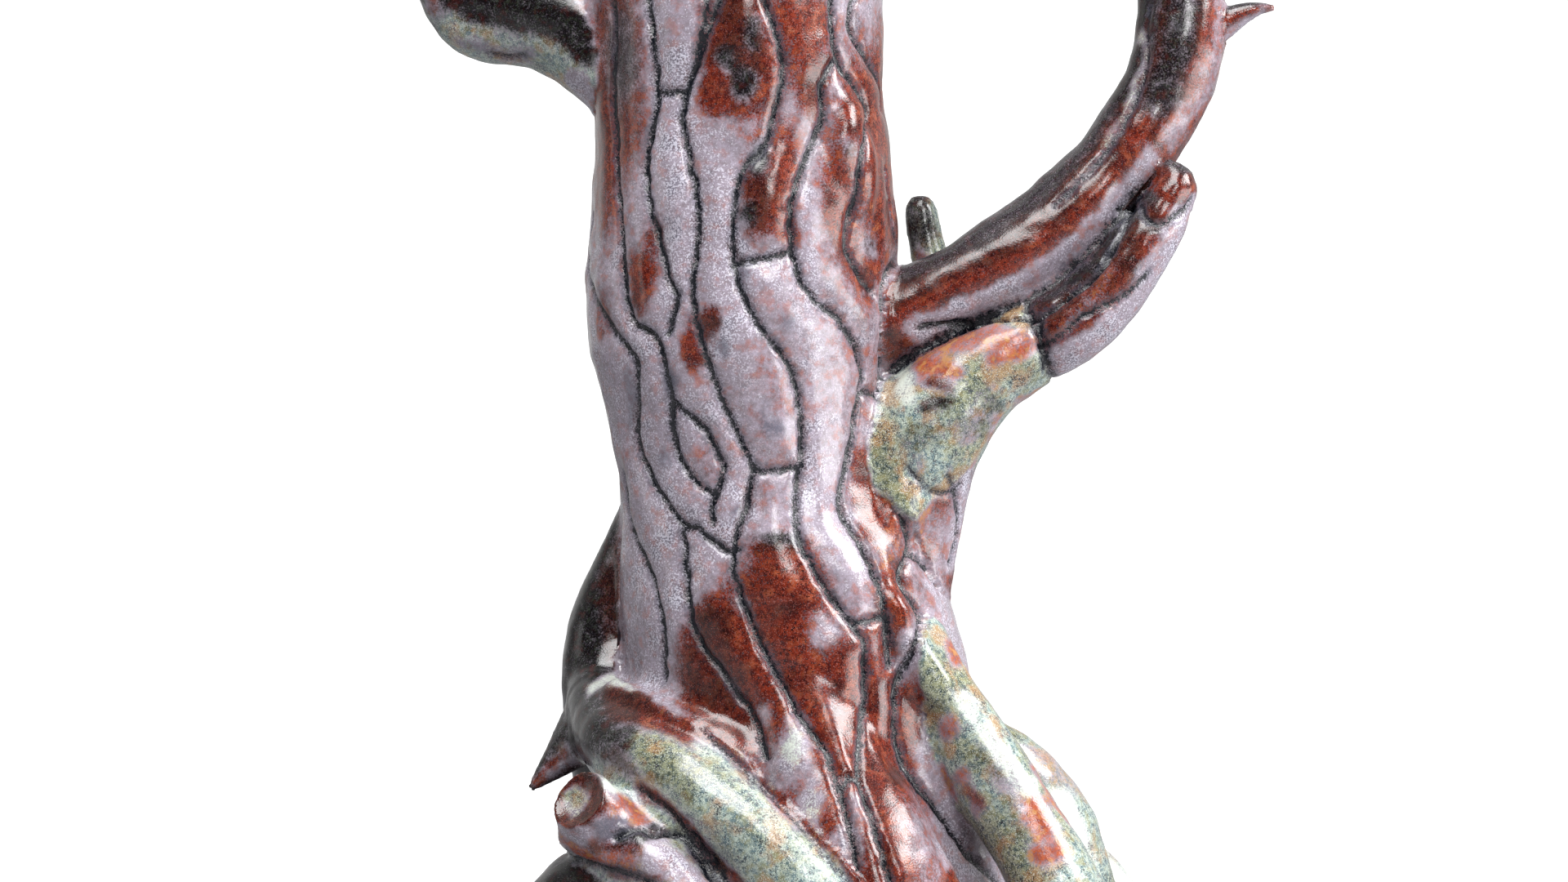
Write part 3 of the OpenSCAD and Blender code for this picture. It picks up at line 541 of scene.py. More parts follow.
def write_attribute(mesh, name, kind, values):
    """Stores a value at every point. kind is FLOAT, FLOAT_VECTOR or FLOAT_COLOR."""
    old = mesh.attributes.get(name)
    if old:
        mesh.attributes.remove(old)
    slot = {"FLOAT": "value", "FLOAT_VECTOR": "vector", "FLOAT_COLOR": "color"}[kind]
    layer = mesh.attributes.new(name, kind, "POINT")
    layer.data.foreach_set(slot, np.ascontiguousarray(values, np.float32).ravel())


def near(distance, width):
    """1 on a line, fading to 0 over about a width."""
    return np.exp(-(distance / width) ** 2)


def ramp(value, low, high):
    t = np.clip((value - low) / (high - low), 0, 1)
    return t * t * (3 - 2 * t)


def clouds(points, size, shift=0.0):
    """Smooth noise from -1 to 1 at each point."""
    scaled = (points / size + shift).tolist()
    return np.array([noise.noise(p) for p in scaled])


def distances(targets, points, reach):
    """Distance from each point to the nearest target, no more than reach."""
    found = np.full(len(points), reach)
    if not len(targets):
        return found
    targets = np.array(targets, float)
    tree = KDTree(len(targets))
    for i, target in enumerate(targets.tolist()):
        tree.insert(target, i)
    tree.balance()
    low, high = targets.min(0) - reach, targets.max(0) + reach
    chosen = np.flatnonzero(((points > low) & (points < high)).all(1))
    away = [tree.find(p)[2] for p in points[chosen].tolist()]
    found[chosen] = np.minimum(away, reach)
    return found


def smooth_line(corners, step):
    """Points a step apart on a smooth curve through the corners."""
    p = np.array(corners, float)
    held = np.vstack([2 * p[0] - p[1], p, 2 * p[-1] - p[-2]])
    found = []
    for a, b, c, d in zip(held, held[1:], held[2:], held[3:]):
        count = max(2, int(np.linalg.norm(c - b) / step))
        t = np.linspace(0, 1, count, endpoint=False)[:, None]
        found.append(0.5 * (2 * b + (c - a) * t + (2 * a - 5 * b + 4 * c - d) * t ** 2
                            + (3 * b - a - 3 * c + d) * t ** 3))
    return np.vstack([*found, p[-1:]])


def node_shape(name):
    """A CAD node's surface, for finding the nearest point on it."""
    mesh = frame["nodes"][name].data
    mesh.calc_loop_triangles()
    corners = [tuple(t.vertices) for t in mesh.loop_triangles]
    return BVHTree.FromPolygons([v.co.copy() for v in mesh.vertices], corners)


def nearest_nodes(points, reach):
    """For each point, the index of the nearest CAD node and its distance."""
    best = np.full(len(points), reach * 10)
    label = np.zeros(len(points), int)
    for index, name in enumerate(NODE_NAMES):
        low, high = (np.array(corner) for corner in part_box(name))
        inside = np.flatnonzero(((points > low - reach) & (points < high + reach)).all(1))
        shape = node_shape(name)
        for i in inside.tolist():
            found = shape.find_nearest(points[i], reach)[3]
            if found is not None and found < best[i]:
                best[i] = found
                label[i] = index
    return label, best


def face_neighbours(mesh):
    """Pairs of faces that share an edge, and the edge of each pair."""
    edges = read_whole(mesh.loops, "edge_index")
    counts = read_whole(mesh.polygons, "loop_total")
    faces = np.repeat(np.arange(len(counts)), counts)
    order = np.argsort(edges, kind="stable")
    edges, faces = edges[order], faces[order]
    same = edges[1:] == edges[:-1]
    return faces[:-1][same], faces[1:][same], edges[:-1][same]


def face_corners(mesh):
    """The four points of each face, a triangle's last one twice."""
    counts = read_whole(mesh.polygons, "loop_total")
    starts = read_whole(mesh.polygons, "loop_start")
    corners = read_whole(mesh.loops, "vertex_index")
    return np.stack([corners[starts + np.minimum(k, counts - 1)] for k in range(4)], 1)


def join_islands(label, a, b, smallest=400):
    """Gives each small patch of faces the label of its neighbours, so that a piece is whole."""
    parent = list(range(len(label)))

    def top(i):
        while parent[i] != i:
            parent[i] = parent[parent[i]]
            i = parent[i]
        return i

    alike = label[a] == label[b]
    for i, j in zip(a[alike].tolist(), b[alike].tolist()):
        i, j = top(i), top(j)
        if i != j:
            parent[j] = i
    patch = np.array([top(i) for i in range(len(label))])
    size = np.bincount(patch, minlength=len(label))
    biggest = {}
    for p in np.unique(patch):
        owner = label[p]
        if size[p] > size[biggest.get(owner, p)] or owner not in biggest:
            biggest[owner] = p
    stray = np.array([biggest[owner] for owner in label]) != patch
    stray &= size[patch] < smallest
    for _ in range(200):
        edge = stray[a] & ~stray[b]
        other = stray[b] & ~stray[a]
        if not (edge.any() or other.any()):
            break
        label[a[edge]] = label[b[edge]]
        label[b[other]] = label[a[other]]
        stray[a[edge]] = False
        stray[b[other]] = False
    return label


def skin():
    return bpy.data.objects[SKIN]


class CLAYTREE_OT_lute_skin(bpy.types.Operator):
    """Joins copies of the pieces of clay and smooths them over into one skin"""
    bl_idname = "claytree.lute_skin"
    bl_label = "Lute the pieces into one skin"

    def execute(self, context):
        copies = []
        for name in NODE_NAMES:
            copy = bpy.data.objects.new("copy_" + name, frame["nodes"][name].data.copy())
            context.collection.objects.link(copy)
            copy.data.materials.clear()
            copies.append(copy)
        slab_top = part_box("foot_slab")[1][2]
        plug_height, plug_middle = slab_top * 0.6, slab_top * 0.75
        deselect()
        bpy.ops.mesh.primitive_cylinder_add(
            vertices=32, radius=sizes().plug_radius, depth=plug_height,
            location=(sizes().plug_out, 0, plug_middle))
        copies.append(context.object)
        copies += self.rub_in_slip(context)
        activate(*copies)
        bpy.ops.object.join()
        joined = context.object
        joined.name = SKIN
        bpy.ops.object.transform_apply(location=True, rotation=True, scale=True)
        bpy.ops.object.mode_set(mode="EDIT")
        bpy.ops.mesh.select_all(action="SELECT")
        bpy.ops.mesh.remove_doubles(threshold=MM / 1000)
        bpy.ops.object.mode_set(mode="OBJECT")
        step = sizes().skin_step
        finish_modifier(joined, "REMESH", mode="VOXEL", voxel_size=step)
        self.keep_outside(joined)
        self.smooth_joints(joined, step)
        return {"FINISHED"}

    def rub_in_slip(self, context):
        """Balls of soft clay along each joint that was filled and each place that was built up."""
        balls = []
        for corners in SLIP:
            for x, y, z, radius in smooth_line(corners, BALL_STEP):
                deselect()
                bpy.ops.mesh.primitive_ico_sphere_add(
                    subdivisions=2, radius=radius * MM, location=(x * MM, y * MM, z * MM))
                balls.append(context.object)
        return balls

    def keep_outside(self, joined):
        """Drops the inner wall of the hollow trunk, which nothing can see."""
        activate(joined)
        bpy.ops.object.mode_set(mode="EDIT")
        bpy.ops.mesh.select_all(action="SELECT")
        bpy.ops.mesh.separate(type="LOOSE")
        bpy.ops.object.mode_set(mode="OBJECT")
        parts = sorted(bpy.context.selected_objects, key=lambda o: -o.dimensions.z)
        outer = parts[0]
        for part in parts[1:]:
            bpy.data.objects.remove(part)
        outer.name = SKIN
        bpy.context.view_layer.objects.active = outer

    def smooth_joints(self, joined, step):
        """Rounds the flats of the rolls and fillets the joints, less on thin twigs."""
        mesh = joined.data
        points = read_points(mesh)
        label, gap = nearest_nodes(points, REACH)
        self.claim_flare(points, label, gap)
        write_attribute(mesh, "piece", "FLOAT", label)
        thin = np.isin(label, numbers(THIN))
        height = points[:, 2] - FOOT[2]
        weight = np.where(thin, 0.3, 1.0) * ramp(height, 2 * MM, 6 * MM)
        group = joined.vertex_groups.new(name="smooth_here")
        for value in np.unique(np.round(weight, 2)):
            chosen = np.flatnonzero(np.round(weight, 2) == value)
            group.add(chosen.tolist(), float(value), "REPLACE")
        passes = int(sizes().smoothing * (sizes().skin_step / step) ** 2)
        finish_modifier(joined, "SMOOTH", factor=0.5, iterations=passes, vertex_group=group.name)
        joined.vertex_groups.clear()

    def claim_flare(self, points, label, gap):
        """The trunk's spread foot, which stands clear of every CAD node, belongs to the trunk."""
        clear = 2.5 * MM
        top, front = 115 * MM, -20 * MM
        chosen = np.flatnonzero((gap > clear) & (points[:, 2] < top) & (points[:, 1] < front))
        away = np.full(len(chosen), 1.0)
        for ball in smooth_line(FLARE, BALL_STEP) * MM:
            away = np.minimum(away, np.linalg.norm(points[chosen] - ball[:3], axis=1) - ball[3])
        label[chosen[away < MM]] = NODE_NAMES.index("trunk_shell")


class CLAYTREE_OT_carve(bpy.types.Operator):
    """Presses in the joints and carves the bark lines"""
    bl_idname = "claytree.carve"
    bl_label = "Carve the bark"

    def execute(self, context):
        joined = skin()
        mesh = joined.data
        points = read_points(mesh)
        label = read_numbers(mesh, "piece").round().astype(int)
        corners = face_corners(mesh)
        face_label = np.sort(label[corners], 1)[:, 1]
        a, b, edges = face_neighbours(mesh)
        face_label = join_islands(face_label, a, b)
        for name in NODE_NAMES:
            mesh.materials.append(bpy.data.materials.new(name))
        mesh.polygons.foreach_set("material_index", face_label.astype(np.int32))
        label[corners] = face_label[:, None]

        s = sizes()
        shape = BVHTree.FromObject(joined, context.evaluated_depsgraph_get())
        line = np.full(len(points), REACH)
        on_trunk = np.flatnonzero(np.isin(label, numbers(BARKED)))
        line[on_trunk] = distances(self.bark_points(shape), points[on_trunk], REACH)
        seam = distances(self.pressed_points(mesh, points, face_label, a, b, edges), points, REACH)

        normals = read_points(mesh, "normal")
        uneven = 0.8 + 0.8 * clouds(points, 3 * MM, 9)
        fade = ramp(points[:, 2] - FOOT[2], 3 * MM, 9 * MM)
        lumps = s.lump_height * clouds(points, s.lump_size)
        lumps += s.wobble_height * clouds(points, s.wobble_size, 7)
        lumps *= np.where(np.isin(label, numbers(THIN + ["twig_rear_stub"])), 0.25, 1.0) * fade

        def groove(away, depth, shoulder):
            """How deep the clay goes down beside a line, and in it."""
            return (uneven * depth * s.line_depth * near(away, s.line_width)
                    + shoulder * s.plate_depth * near(away, s.plate_width))

        cut = groove(line, 1, 1) + groove(seam, 1, 0.5)
        shown = np.minimum(line, seam)
        for depth, corners_of_line in OTHER_LINES:
            own = distances(self.front_points(shape, corners_of_line), points, REACH)
            cut += groove(own, depth, 0.5 * depth)
            shown = np.minimum(shown, own + (1 - min(depth, 1)) * 0.5 * MM)
        for number, route in enumerate(BARKED_LIMBS):
            own = distances(self.limb_points(shape, route, number), points, REACH)
            cut += groove(own, 0.7, 0.4)
            shown = np.minimum(shown, own + 0.1 * MM)
        grown = np.where(label == NODE_NAMES.index("trunk_shell"), 0.15 * MM, s.plump) * fade
        points += normals * (grown + lumps - cut)[:, None]
        for sawn in SAWN:
            self.saw(points, *sawn)
        write_points(mesh, points.clip(np.array(CAD_BOX[0]), np.array(CAD_BOX[1])))
        write_attribute(mesh, "line", "FLOAT", shown / MM)
        write_attribute(mesh, "piece", "FLOAT", label)
        return {"FINISHED"}

    def front_points(self, shape, corners):
        """Points on the skin along a line seen from the front, a little unsteady."""
        found = []
        for x, z in smooth_line(corners, 0.3):
            x += 0.35 * noise.noise((x / 2, z / 2, 3.0))
            z += 0.35 * noise.noise((x / 2, z / 2, 8.0))
            hit = shape.ray_cast(Vector((x * MM, -1, z * MM)), Vector((0, 1, 0)))[0]
            if hit is not None:
                found.append(hit)
        return found

    def limb_points(self, shape, route, number):
        """Points on the skin along wavy lines that run up a limb."""
        found = []
        axis = smooth_line(route, 0.5)
        along = np.gradient(axis[:, :3], axis=0)
        apart = 1.257  # radians between lines, a fifth of a turn
        for line in range(5):
            start = int(len(axis) * 0.04 * ((line * 3 + number) % 4))
            stop = int(len(axis) * (0.62 + 0.12 * ((line * 2 + number) % 4)))
            for i in range(start, min(stop, len(axis))):
                turn = line * apart + number
                turn += 0.3 * math.sin(i / 19 + line * 2.3) + 0.16 * math.sin(i / 8 + line)
                way = Vector(along[i]).normalized()
                side = way.cross(Vector((0, 1, 0))).normalized()
                out = side * math.cos(turn) + way.cross(side) * math.sin(turn)
                middle = Vector(axis[i, :3]) * MM
                hit = shape.ray_cast(middle + out * axis[i, 3] * 1.6 * MM, -out)[0]
                if hit is not None:
                    found.append(hit)
        return found

    def bark_points(self, shape):
        """Points on the skin along every carved bark line."""
        found = []
        for corners in FRONT_LINES:
            found += self.front_points(shape, corners)
        for corners in back_lines():
            for turn, z in smooth_line(corners, 0.01):
                turn += 0.012 * noise.noise((turn * 20, z / 2, 5.0))
                away = Vector((math.sin(turn), -math.cos(turn), 0))
                axis = Vector((trunk_middle(z * MM), 0, z * MM))
                hit = shape.ray_cast(axis + away * 0.25, -away)[0]
                if hit is not None:
                    found.append(hit)
        return found

    def pressed_points(self, mesh, points, face_label, a, b, edges):
        """Points along the joints that were pressed in with a tool."""
        ends = read_whole(mesh.edges, "vertices", 2).reshape(-1, 2)
        found = []
        differ = face_label[a] != face_label[b]
        for i, j, e in zip(face_label[a[differ]], face_label[b[differ]], edges[differ]):
            if frozenset((NODE_NAMES[i], NODE_NAMES[j])) in PRESSED_JOINTS:
                found.append(points[ends[e]].mean(0))
        return found

    def saw(self, points, middle, facing, radius, hollow):
        """Cuts back what stands out past a sawn end, and hollows the cut like a shallow bowl."""
        middle = np.array(middle) * MM
        facing = np.array(facing) / np.linalg.norm(facing)
        away = points - middle
        past = away @ facing
        across = np.linalg.norm(away - np.outer(past, facing), axis=1)
        cut = (past > -hollow * MM) & (past < 9 * MM) & (across < radius * MM)
        bowl = hollow * MM * np.clip(1.15 - (across[cut] / (0.62 * radius * MM)) ** 2, -0.15, 1)
        points[cut] -= np.outer(np.maximum(past[cut] + bowl, 0), facing)


def trunk_middle(z):
    """The trunk's middle, from left to right, at a height."""
    share = float(ramp(z, 30 * MM, 150 * MM))
    return (3 - 17.5 * share) * MM


def back_lines():
    """Bark lines round the back of the trunk, as (turn in radians, height in mm) from a rule."""
    lines = []
    count = 11
    first, last = math.radians(98), math.radians(262)
    for k in range(count):
        turn = first + (last - first) * k / (count - 1)
        start = 34 + 9 * math.sin(k * 2.1)
        stop = 246 - 8 * math.cos(k * 1.7)
        heights = np.arange(start, stop, 11)
        wave = 0.09 * np.sin(heights / 17 + k * 1.9) + 0.06 * np.sin(heights / 8.3 + k * 3.1)
        lines.append([(turn + w, z) for w, z in zip(wave, heights)])
    for k in range(count - 1):
        here, there = lines[k], lines[k + 1]
        for pick in (3 + k % 4, 10 + k % 5):
            if pick < len(here) and pick < len(there):
                lines.append([here[pick], there[pick - 1]])
    return lines


class CLAYTREE_OT_pour_glaze(bpy.types.Operator):
    """Works out where each glaze lies, as a weight at every point of the skin"""
    bl_idname = "claytree.pour_glaze"
    bl_label = "Pour the glazes"

    def execute(self, context):
        mesh = skin().data
        points = read_points(mesh) / MM
        normals = read_points(mesh, "normal")
        piece = read_numbers(mesh, "piece").round().astype(int)
        glaze = np.zeros((len(points), CHANNELS))
        self.dip(glaze, points, normals, piece)
        front = ramp(-normals[:, 1], -0.3, 0.12)
        wander = np.stack([clouds(points, 5, 3), clouds(points, 5, 13)], 1)
        wander = 1.2 * wander + 0.6 * np.stack([clouds(points, 2.2, 23), clouds(points, 2.2, 33)], 1)
        seen = points[:, (0, 2)] + wander
        self.dab_trunk(glaze, seen, front * np.isin(piece, numbers(BARKED)))
        for name, strokes in STROKES.items():
            mine = front * (piece == NODE_NAMES.index(name))
            for brush, strength, width, corners in strokes:
                self.stroke(glaze, seen, mine, brush, strength, width, corners)
        glaze = spread(mesh, glaze, 3)
        write_attribute(mesh, "glaze", "FLOAT_COLOR", glaze[:, :4])
        write_attribute(mesh, "tint", "FLOAT_COLOR", glaze[:, 4:])
        return {"FINISHED"}

    def brush_on(self, glaze, share, brush):
        glaze += share[:, None] * (np.array(BRUSHES[brush]) - glaze)

    def dab_trunk(self, glaze, seen, mine):
        for brush, strength, (x, z), wide, high in TRUNK_DABS:
            away = np.hypot((seen[:, 0] - x) / wide, (seen[:, 1] - z) / high)
            self.brush_on(glaze, strength * mine * (1 - ramp(away, 0.35, 1.45)), brush)

    def stroke(self, glaze, seen, mine, brush, strength, width, corners):
        chosen = np.flatnonzero(mine > 0)
        where = seen[chosen]
        away = np.full(len(chosen), 1e3)
        for a, b in zip(np.array(corners, float), np.array(corners[1:], float)):
            share = ((where - a) @ (b - a) / ((b - a) @ (b - a))).clip(0, 1)
            away = np.minimum(away, np.linalg.norm(where - a - share[:, None] * (b - a), axis=1))
        full = np.zeros(len(seen))
        full[chosen] = strength * mine[chosen] * (1 - ramp(away, 0.45 * width, 1.4 * width + 0.4))
        self.brush_on(glaze, full, brush)

    def dip(self, glaze, points, normals, piece):
        """The broad coats, which also cover what no stroke reaches."""
        up = normals[:, 2]
        broad = clouds(points, 20, 11)
        patch = clouds(points * [1, 1, 0.6], 12, 5)
        fine = clouds(points, 4.5, 2)
        flow = up + 0.5 * broad + 0.2 * fine

        def on(names):
            return np.isin(piece, numbers(names)).astype(float)

        trunk = on(["trunk_shell", "limb_buttress"])
        self.brush_on(glaze, trunk * 0.7 * ramp(patch + 0.3 * fine, -0.1, 0.25), "blush")
        back = trunk * ramp(normals[:, 1], -0.1, 0.3)
        self.brush_on(glaze, back * ramp(patch + 0.3 * fine, 0.05, 0.3), "rust")
        self.brush_on(glaze, back * ramp(fine + 0.5 * patch, 0.3, 0.5), "maroon")

        limbs = on(LIMBS + CROWN + TWIGS)
        self.brush_on(glaze, limbs * ramp(flow, -0.9, -0.4), "blush")
        self.brush_on(glaze, limbs * ramp(flow, -0.6, -0.1), "rust")
        self.brush_on(glaze, limbs * ramp(flow, -0.05, 0.45), "maroon")
        self.brush_on(glaze, limbs * ramp(flow, 0.35, 0.8), "dusk")

        roots = on(ROOTS + ["limb_collar", "back_cut_stub", "limb_left", "twig_left_upper", "twig_rear_stub",
                            "twig_back", "crown_left_twig", "crown_right_twig"])
        self.brush_on(glaze, roots, "celadon")
        self.brush_on(glaze, roots * 0.9 * ramp(patch, 0.05, 0.3), "olive")
        self.brush_on(glaze, roots * 0.8 * ramp(broad + 0.8 * fine, 0.45, 0.75), "orange")
        self.brush_on(glaze, roots * 0.6 * ramp(-patch + 0.3 * fine, 0.2, 0.45), "bottle")

        toe = on(["root_front_toe"])
        self.brush_on(glaze, toe, "blush")
        self.brush_on(glaze, toe * ramp(patch + 0.3 * fine, -0.3, 0.1), "rust")
        self.brush_on(glaze, toe * 0.8 * ramp(fine - patch, 0.3, 0.6), "maroon")

        # Near black on these pieces; on the left rear root and the mound it is partly painted shade.
        dusky = on(["root_left_rear", "root_mound", "root_thorn", "root_left_toe", "root_back_left",
                    "crown_left_branch", "crown_right_branch", "crown_rear_branch"])
        self.brush_on(glaze, dusky, "dark")
        self.brush_on(glaze, dusky * 0.55 * ramp(patch + 0.5 * fine, 0.05, 0.35), "maroon")
        self.brush_on(glaze, dusky * 0.6 * ramp(-patch + 0.4 * fine, 0.2, 0.4), "bottle")

        slab = on(["foot_slab"])
        self.brush_on(glaze, slab, "maroon")
        self.brush_on(glaze, slab * 0.9 * ramp(patch + 0.3 * fine, 0.0, 0.3), "blush")
        self.brush_on(glaze, slab * ramp(fine - patch, 0.25, 0.5), "dark")


def spread(mesh, values, passes):
    """Blurs the values at each point over its neighbours."""
    ends = read_whole(mesh.edges, "vertices", 2)
    a, b = ends.reshape(-1, 2).T
    count = np.bincount(ends, minlength=len(values))[:, None]
    for _ in range(passes):
        total = [np.bincount(a, c[b], len(values)) + np.bincount(b, c[a], len(values)) for c in values.T]
        values = 0.5 * values + 0.5 * np.stack(total, 1) / count
    return values


def add_node(tree, kind, inputs=None, **settings):
    """Adds a node with its settings. Each of its inputs is a value, or a socket to link from."""
    node = tree.nodes.new(kind)
    for name, value in settings.items():
        setattr(node, name, value)
    for name, value in (inputs or {}).items():
        socket = node.inputs[name]
        if isinstance(value, bpy.types.NodeSocket):
            tree.links.new(value, socket)
        elif socket.type == "RGBA":
            socket.default_value = (*value, 1.0)
        else:
            socket.default_value = value
    return node


def together(tree, total, *parts):
    """A number or socket with others added, each times its weight."""
    for value, weight in parts:
        total = add_node(tree, "ShaderNodeMath", {0: value, 1: weight, 2: total},
                         operation="MULTIPLY_ADD").outputs[0]
    return total


def layered(tree, colour, *coats):
    """A colour with coats laid over it.

    Each coat is its colour, the pattern it follows, where on that pattern it starts and is
    full, and its share of the colour there.
    """
    for over, pattern, start, full, share in coats:
        cover = add_node(tree, "ShaderNodeMapRange", {
            "Value": pattern, "From Min": start, "From Max": full, "To Max": share},
            interpolation_type="SMOOTHSTEP").outputs["Result"]
        colour = add_node(tree, "ShaderNodeMix", {0: cover, 6: colour, 7: over}, data_type="RGBA").outputs[2]
    return colour


def layered_glaze(name):
    """Stoneware dipped in two glazes and fired glossy.

    Copper red shows where the coat is thin, a lavender coat full of fine crystals where it
    is thick, pale green where the second glaze was brushed on, and near black in the cuts.
    """
    c = bpy.context.scene.clay_tree.colours
    material = bpy.data.materials.new(name)
    material.use_nodes = True
    tree = material.node_tree
    shader = tree.nodes["Principled BSDF"]
    place = add_node(tree, "ShaderNodeTexCoord").outputs["Object"]
    in_mm = add_node(tree, "ShaderNodeVectorMath", {"Vector": place, "Scale": 1 / MM},
                     operation="SCALE").outputs["Vector"]
    glaze, tint, line = (
        add_node(tree, "ShaderNodeAttribute", attribute_name=weights).outputs
        for weights in ("glaze", "tint", "line"))
    main, extra = (
        add_node(tree, "ShaderNodeSeparateColor", {"Color": weights["Color"]}).outputs
        for weights in (glaze, tint))

    # Noise with its bumps this many millimetres apart, its detail and its roughness. Fired
    # crystals and specks are finer than the last two, which are as coarse as they need to show.
    broad, cloud, mottle, speck, dust = (
        add_node(tree, "ShaderNodeTexNoise", {
            "Vector": in_mm, "Scale": 1 / size, "Detail": detail, "Roughness": rough}).outputs["Fac"]
        for size, detail, rough in (
            (6.0, 4, 0.55), (2.4, 5, 0.6), (1.0, 4, 0.7), (0.36, 2, 0.6), (0.22, 1, 0.5)))

    # Lavender: grey mauve body, light clouds, salmon where thin, slate where it pools, frost
    frost = together(tree, 0, (speck, 1), (broad, 0.5))
    lavender = layered(
        tree, c.mauve, (c.lavender, mottle, 0.25, 0.75, 1), (c.blush, cloud, 0.5, 0.66, 0.45),
        (c.slate, broad, 0.54, 0.68, 0.6), (c.frost, frost, 0.76, 0.9, 0.75))

    # Copper red: oxblood where thick, rust where thin, ember patches, dark and pale specks
    red = layered(
        tree, c.oxblood, (c.rust, mottle, 0.36, 0.62, 1), (c.ember, cloud, 0.5, 0.68, 0.6),
        (c.oxblood, broad, 0.52, 0.64, 0.6), (c.ink, broad, 0.62, 0.72, 0.6),
        (c.ink, speck, 0.45, 0.34, 1), (c.blush, dust, 0.58, 0.68, 0.5))

    # Pale green: blue-grey, olive and ochre mottles, clotted dark specks and pale dust
    olive = layered(tree, c.bottle, (c.moss, mottle, 0.36, 0.6, 1))
    green = layered(tree, c.pond, (c.celadon, mottle, 0.4, 0.6, 1), (c.moss, cloud, 0.5, 0.64, 0.7))
    green = add_node(tree, "ShaderNodeMix", {
        0: together(tree, 0, (extra["Red"], 0.8)), 6: green, 7: olive}, data_type="RGBA").outputs[2]
    clotted = together(tree, -0.4, (speck, 1), (cloud, 0.8))
    green = layered(
        tree, green, (c.ochre, broad, 0.5, 0.64, 0.55), (c.navy, clotted, 0.42, 0.32, 0.85),
        (c.milk_and_highlight, dust, 0.56, 0.66, 0.6))

    # Dark: near black with bottle green and a little oxblood
    deep = layered(
        tree, c.ink, (c.bottle, mottle, 0.45, 0.68, 1), (c.oxblood, cloud, 0.52, 0.7, 0.7),
        (c.slate, dust, 0.6, 0.7, 0.35))

    # Orange: the copper red where it breaks
    ember = layered(tree, c.rust, (c.ember, mottle, 0.35, 0.6, 1), (c.ochre, cloud, 0.5, 0.66, 1))

    # Each glaze where its weight says, with the edges of its patches made ragged. The milk weight also
    # carries painted highlights.
    ragged = together(tree, -0.95, (cloud, 0.9), (speck, 1))

    def where(weight):
        return together(tree, ragged, (weight, 1))

    patchy = together(tree, -0.62, (glaze["Alpha"], 1), (mottle, 1))
    colour = layered(
        tree, lavender, (red, where(main["Red"]), 0.15, 0.85, 1),
        (c.slate, where(tint["Alpha"]), 0.15, 0.85, 0.8), (green, where(main["Green"]), 0.15, 0.85, 1),
        (ember, where(patchy), 0.1, 0.95, 1), (deep, where(main["Blue"]), 0.2, 0.95, 1),
        (c.milk_and_highlight, where(extra["Green"]), 0.25, 0.9, 0.85))
    dusted = layered(tree, colour, (c.lavender, dust, 0.44, 0.62, 0.7))

    # The cuts: glaze pools dark in them in beads, with a haze of slate or oxblood beside them
    wobbly = together(tree, -1.55, (line["Fac"], 1), (mottle, 1.5), (speck, 1.6))
    haze = layered(tree, c.slate, (c.oxblood, broad, 0.5, 0.62, 1))
    colour = layered(
        tree, colour, (dusted, where(extra["Blue"]), 0.2, 0.9, 1), (haze, wobbly, 1.7, 0.7, 0.5),
        (c.navy, wobbly, 0.8, 0.32, 1))

    # The foot was wiped clean of glaze before firing, so the bare buff clay shows there, up to
    # an uneven edge about 2 mm above the table
    height = add_node(tree, "ShaderNodeSeparateXYZ", {"Vector": in_mm}).outputs["Z"]
    rim = together(tree, -FOOT[2] / MM, (height, 1), (cloud, 2))
    glazed_above, bare_below = 2.9, 2.3
    clay = layered(tree, c.clay, (c.grog, speck, 0.35, 0.6, 1))
    colour = layered(tree, colour, (clay, rim, glazed_above, bare_below, 1))

    gloss = add_node(tree, "ShaderNodeMapRange", {
        "Value": cloud, "From Min": 0.3, "From Max": 0.7, "To Min": 0.07, "To Max": 0.2})
    dry = add_node(tree, "ShaderNodeMapRange", {
        "Value": rim, "From Min": glazed_above, "From Max": bare_below, "To Max": 0.85},
        interpolation_type="SMOOTHSTEP")
    rough = add_node(tree, "ShaderNodeMath", {0: gloss.outputs["Result"], 1: dry.outputs["Result"]},
                     operation="MAXIMUM")

    # Orange peel of the fired coat, the crystals standing in it and the sharp edge of a cut
    edge = add_node(tree, "ShaderNodeMapRange", {
        "Value": wobbly, "From Min": 0.1, "From Max": 0.9, "To Max": 1.2},
        interpolation_type="SMOOTHSTEP").outputs["Result"]
    relief = together(tree, edge, (mottle, 0.45), (speck, 0.6))
    bump = add_node(tree, "ShaderNodeBump", {"Strength": 0.4, "Distance": 0.16 * MM, "Height": relief})

    shader.inputs["IOR"].default_value = 1.52
    tree.links.new(colour, shader.inputs["Base Color"])
    tree.links.new(rough.outputs[0], shader.inputs["Roughness"])
    tree.links.new(bump.outputs["Normal"], shader.inputs["Normal"])
    return material


def cut_apart():
    """Splits the skin into its pieces, once, and closes each where it was luted on."""
    if SKIN not in bpy.data.objects:
        return
    joined = skin()
    mesh = joined.data
    write_attribute(mesh, "skin_normal", "FLOAT_VECTOR", read_points(mesh, "normal"))
    activate(joined)
    bpy.ops.object.mode_set(mode="EDIT")
    bpy.ops.mesh.select_all(action="SELECT")
    bpy.ops.mesh.separate(type="MATERIAL")
    bpy.ops.object.mode_set(mode="OBJECT")
    for part in list(bpy.context.selected_objects):
        index = part.data.polygons[0].material_index
        name = part.data.materials[index].name
        part.data.materials.clear()
        part.name = part.data.name = "glazed_" + name
        close_back(part, name)


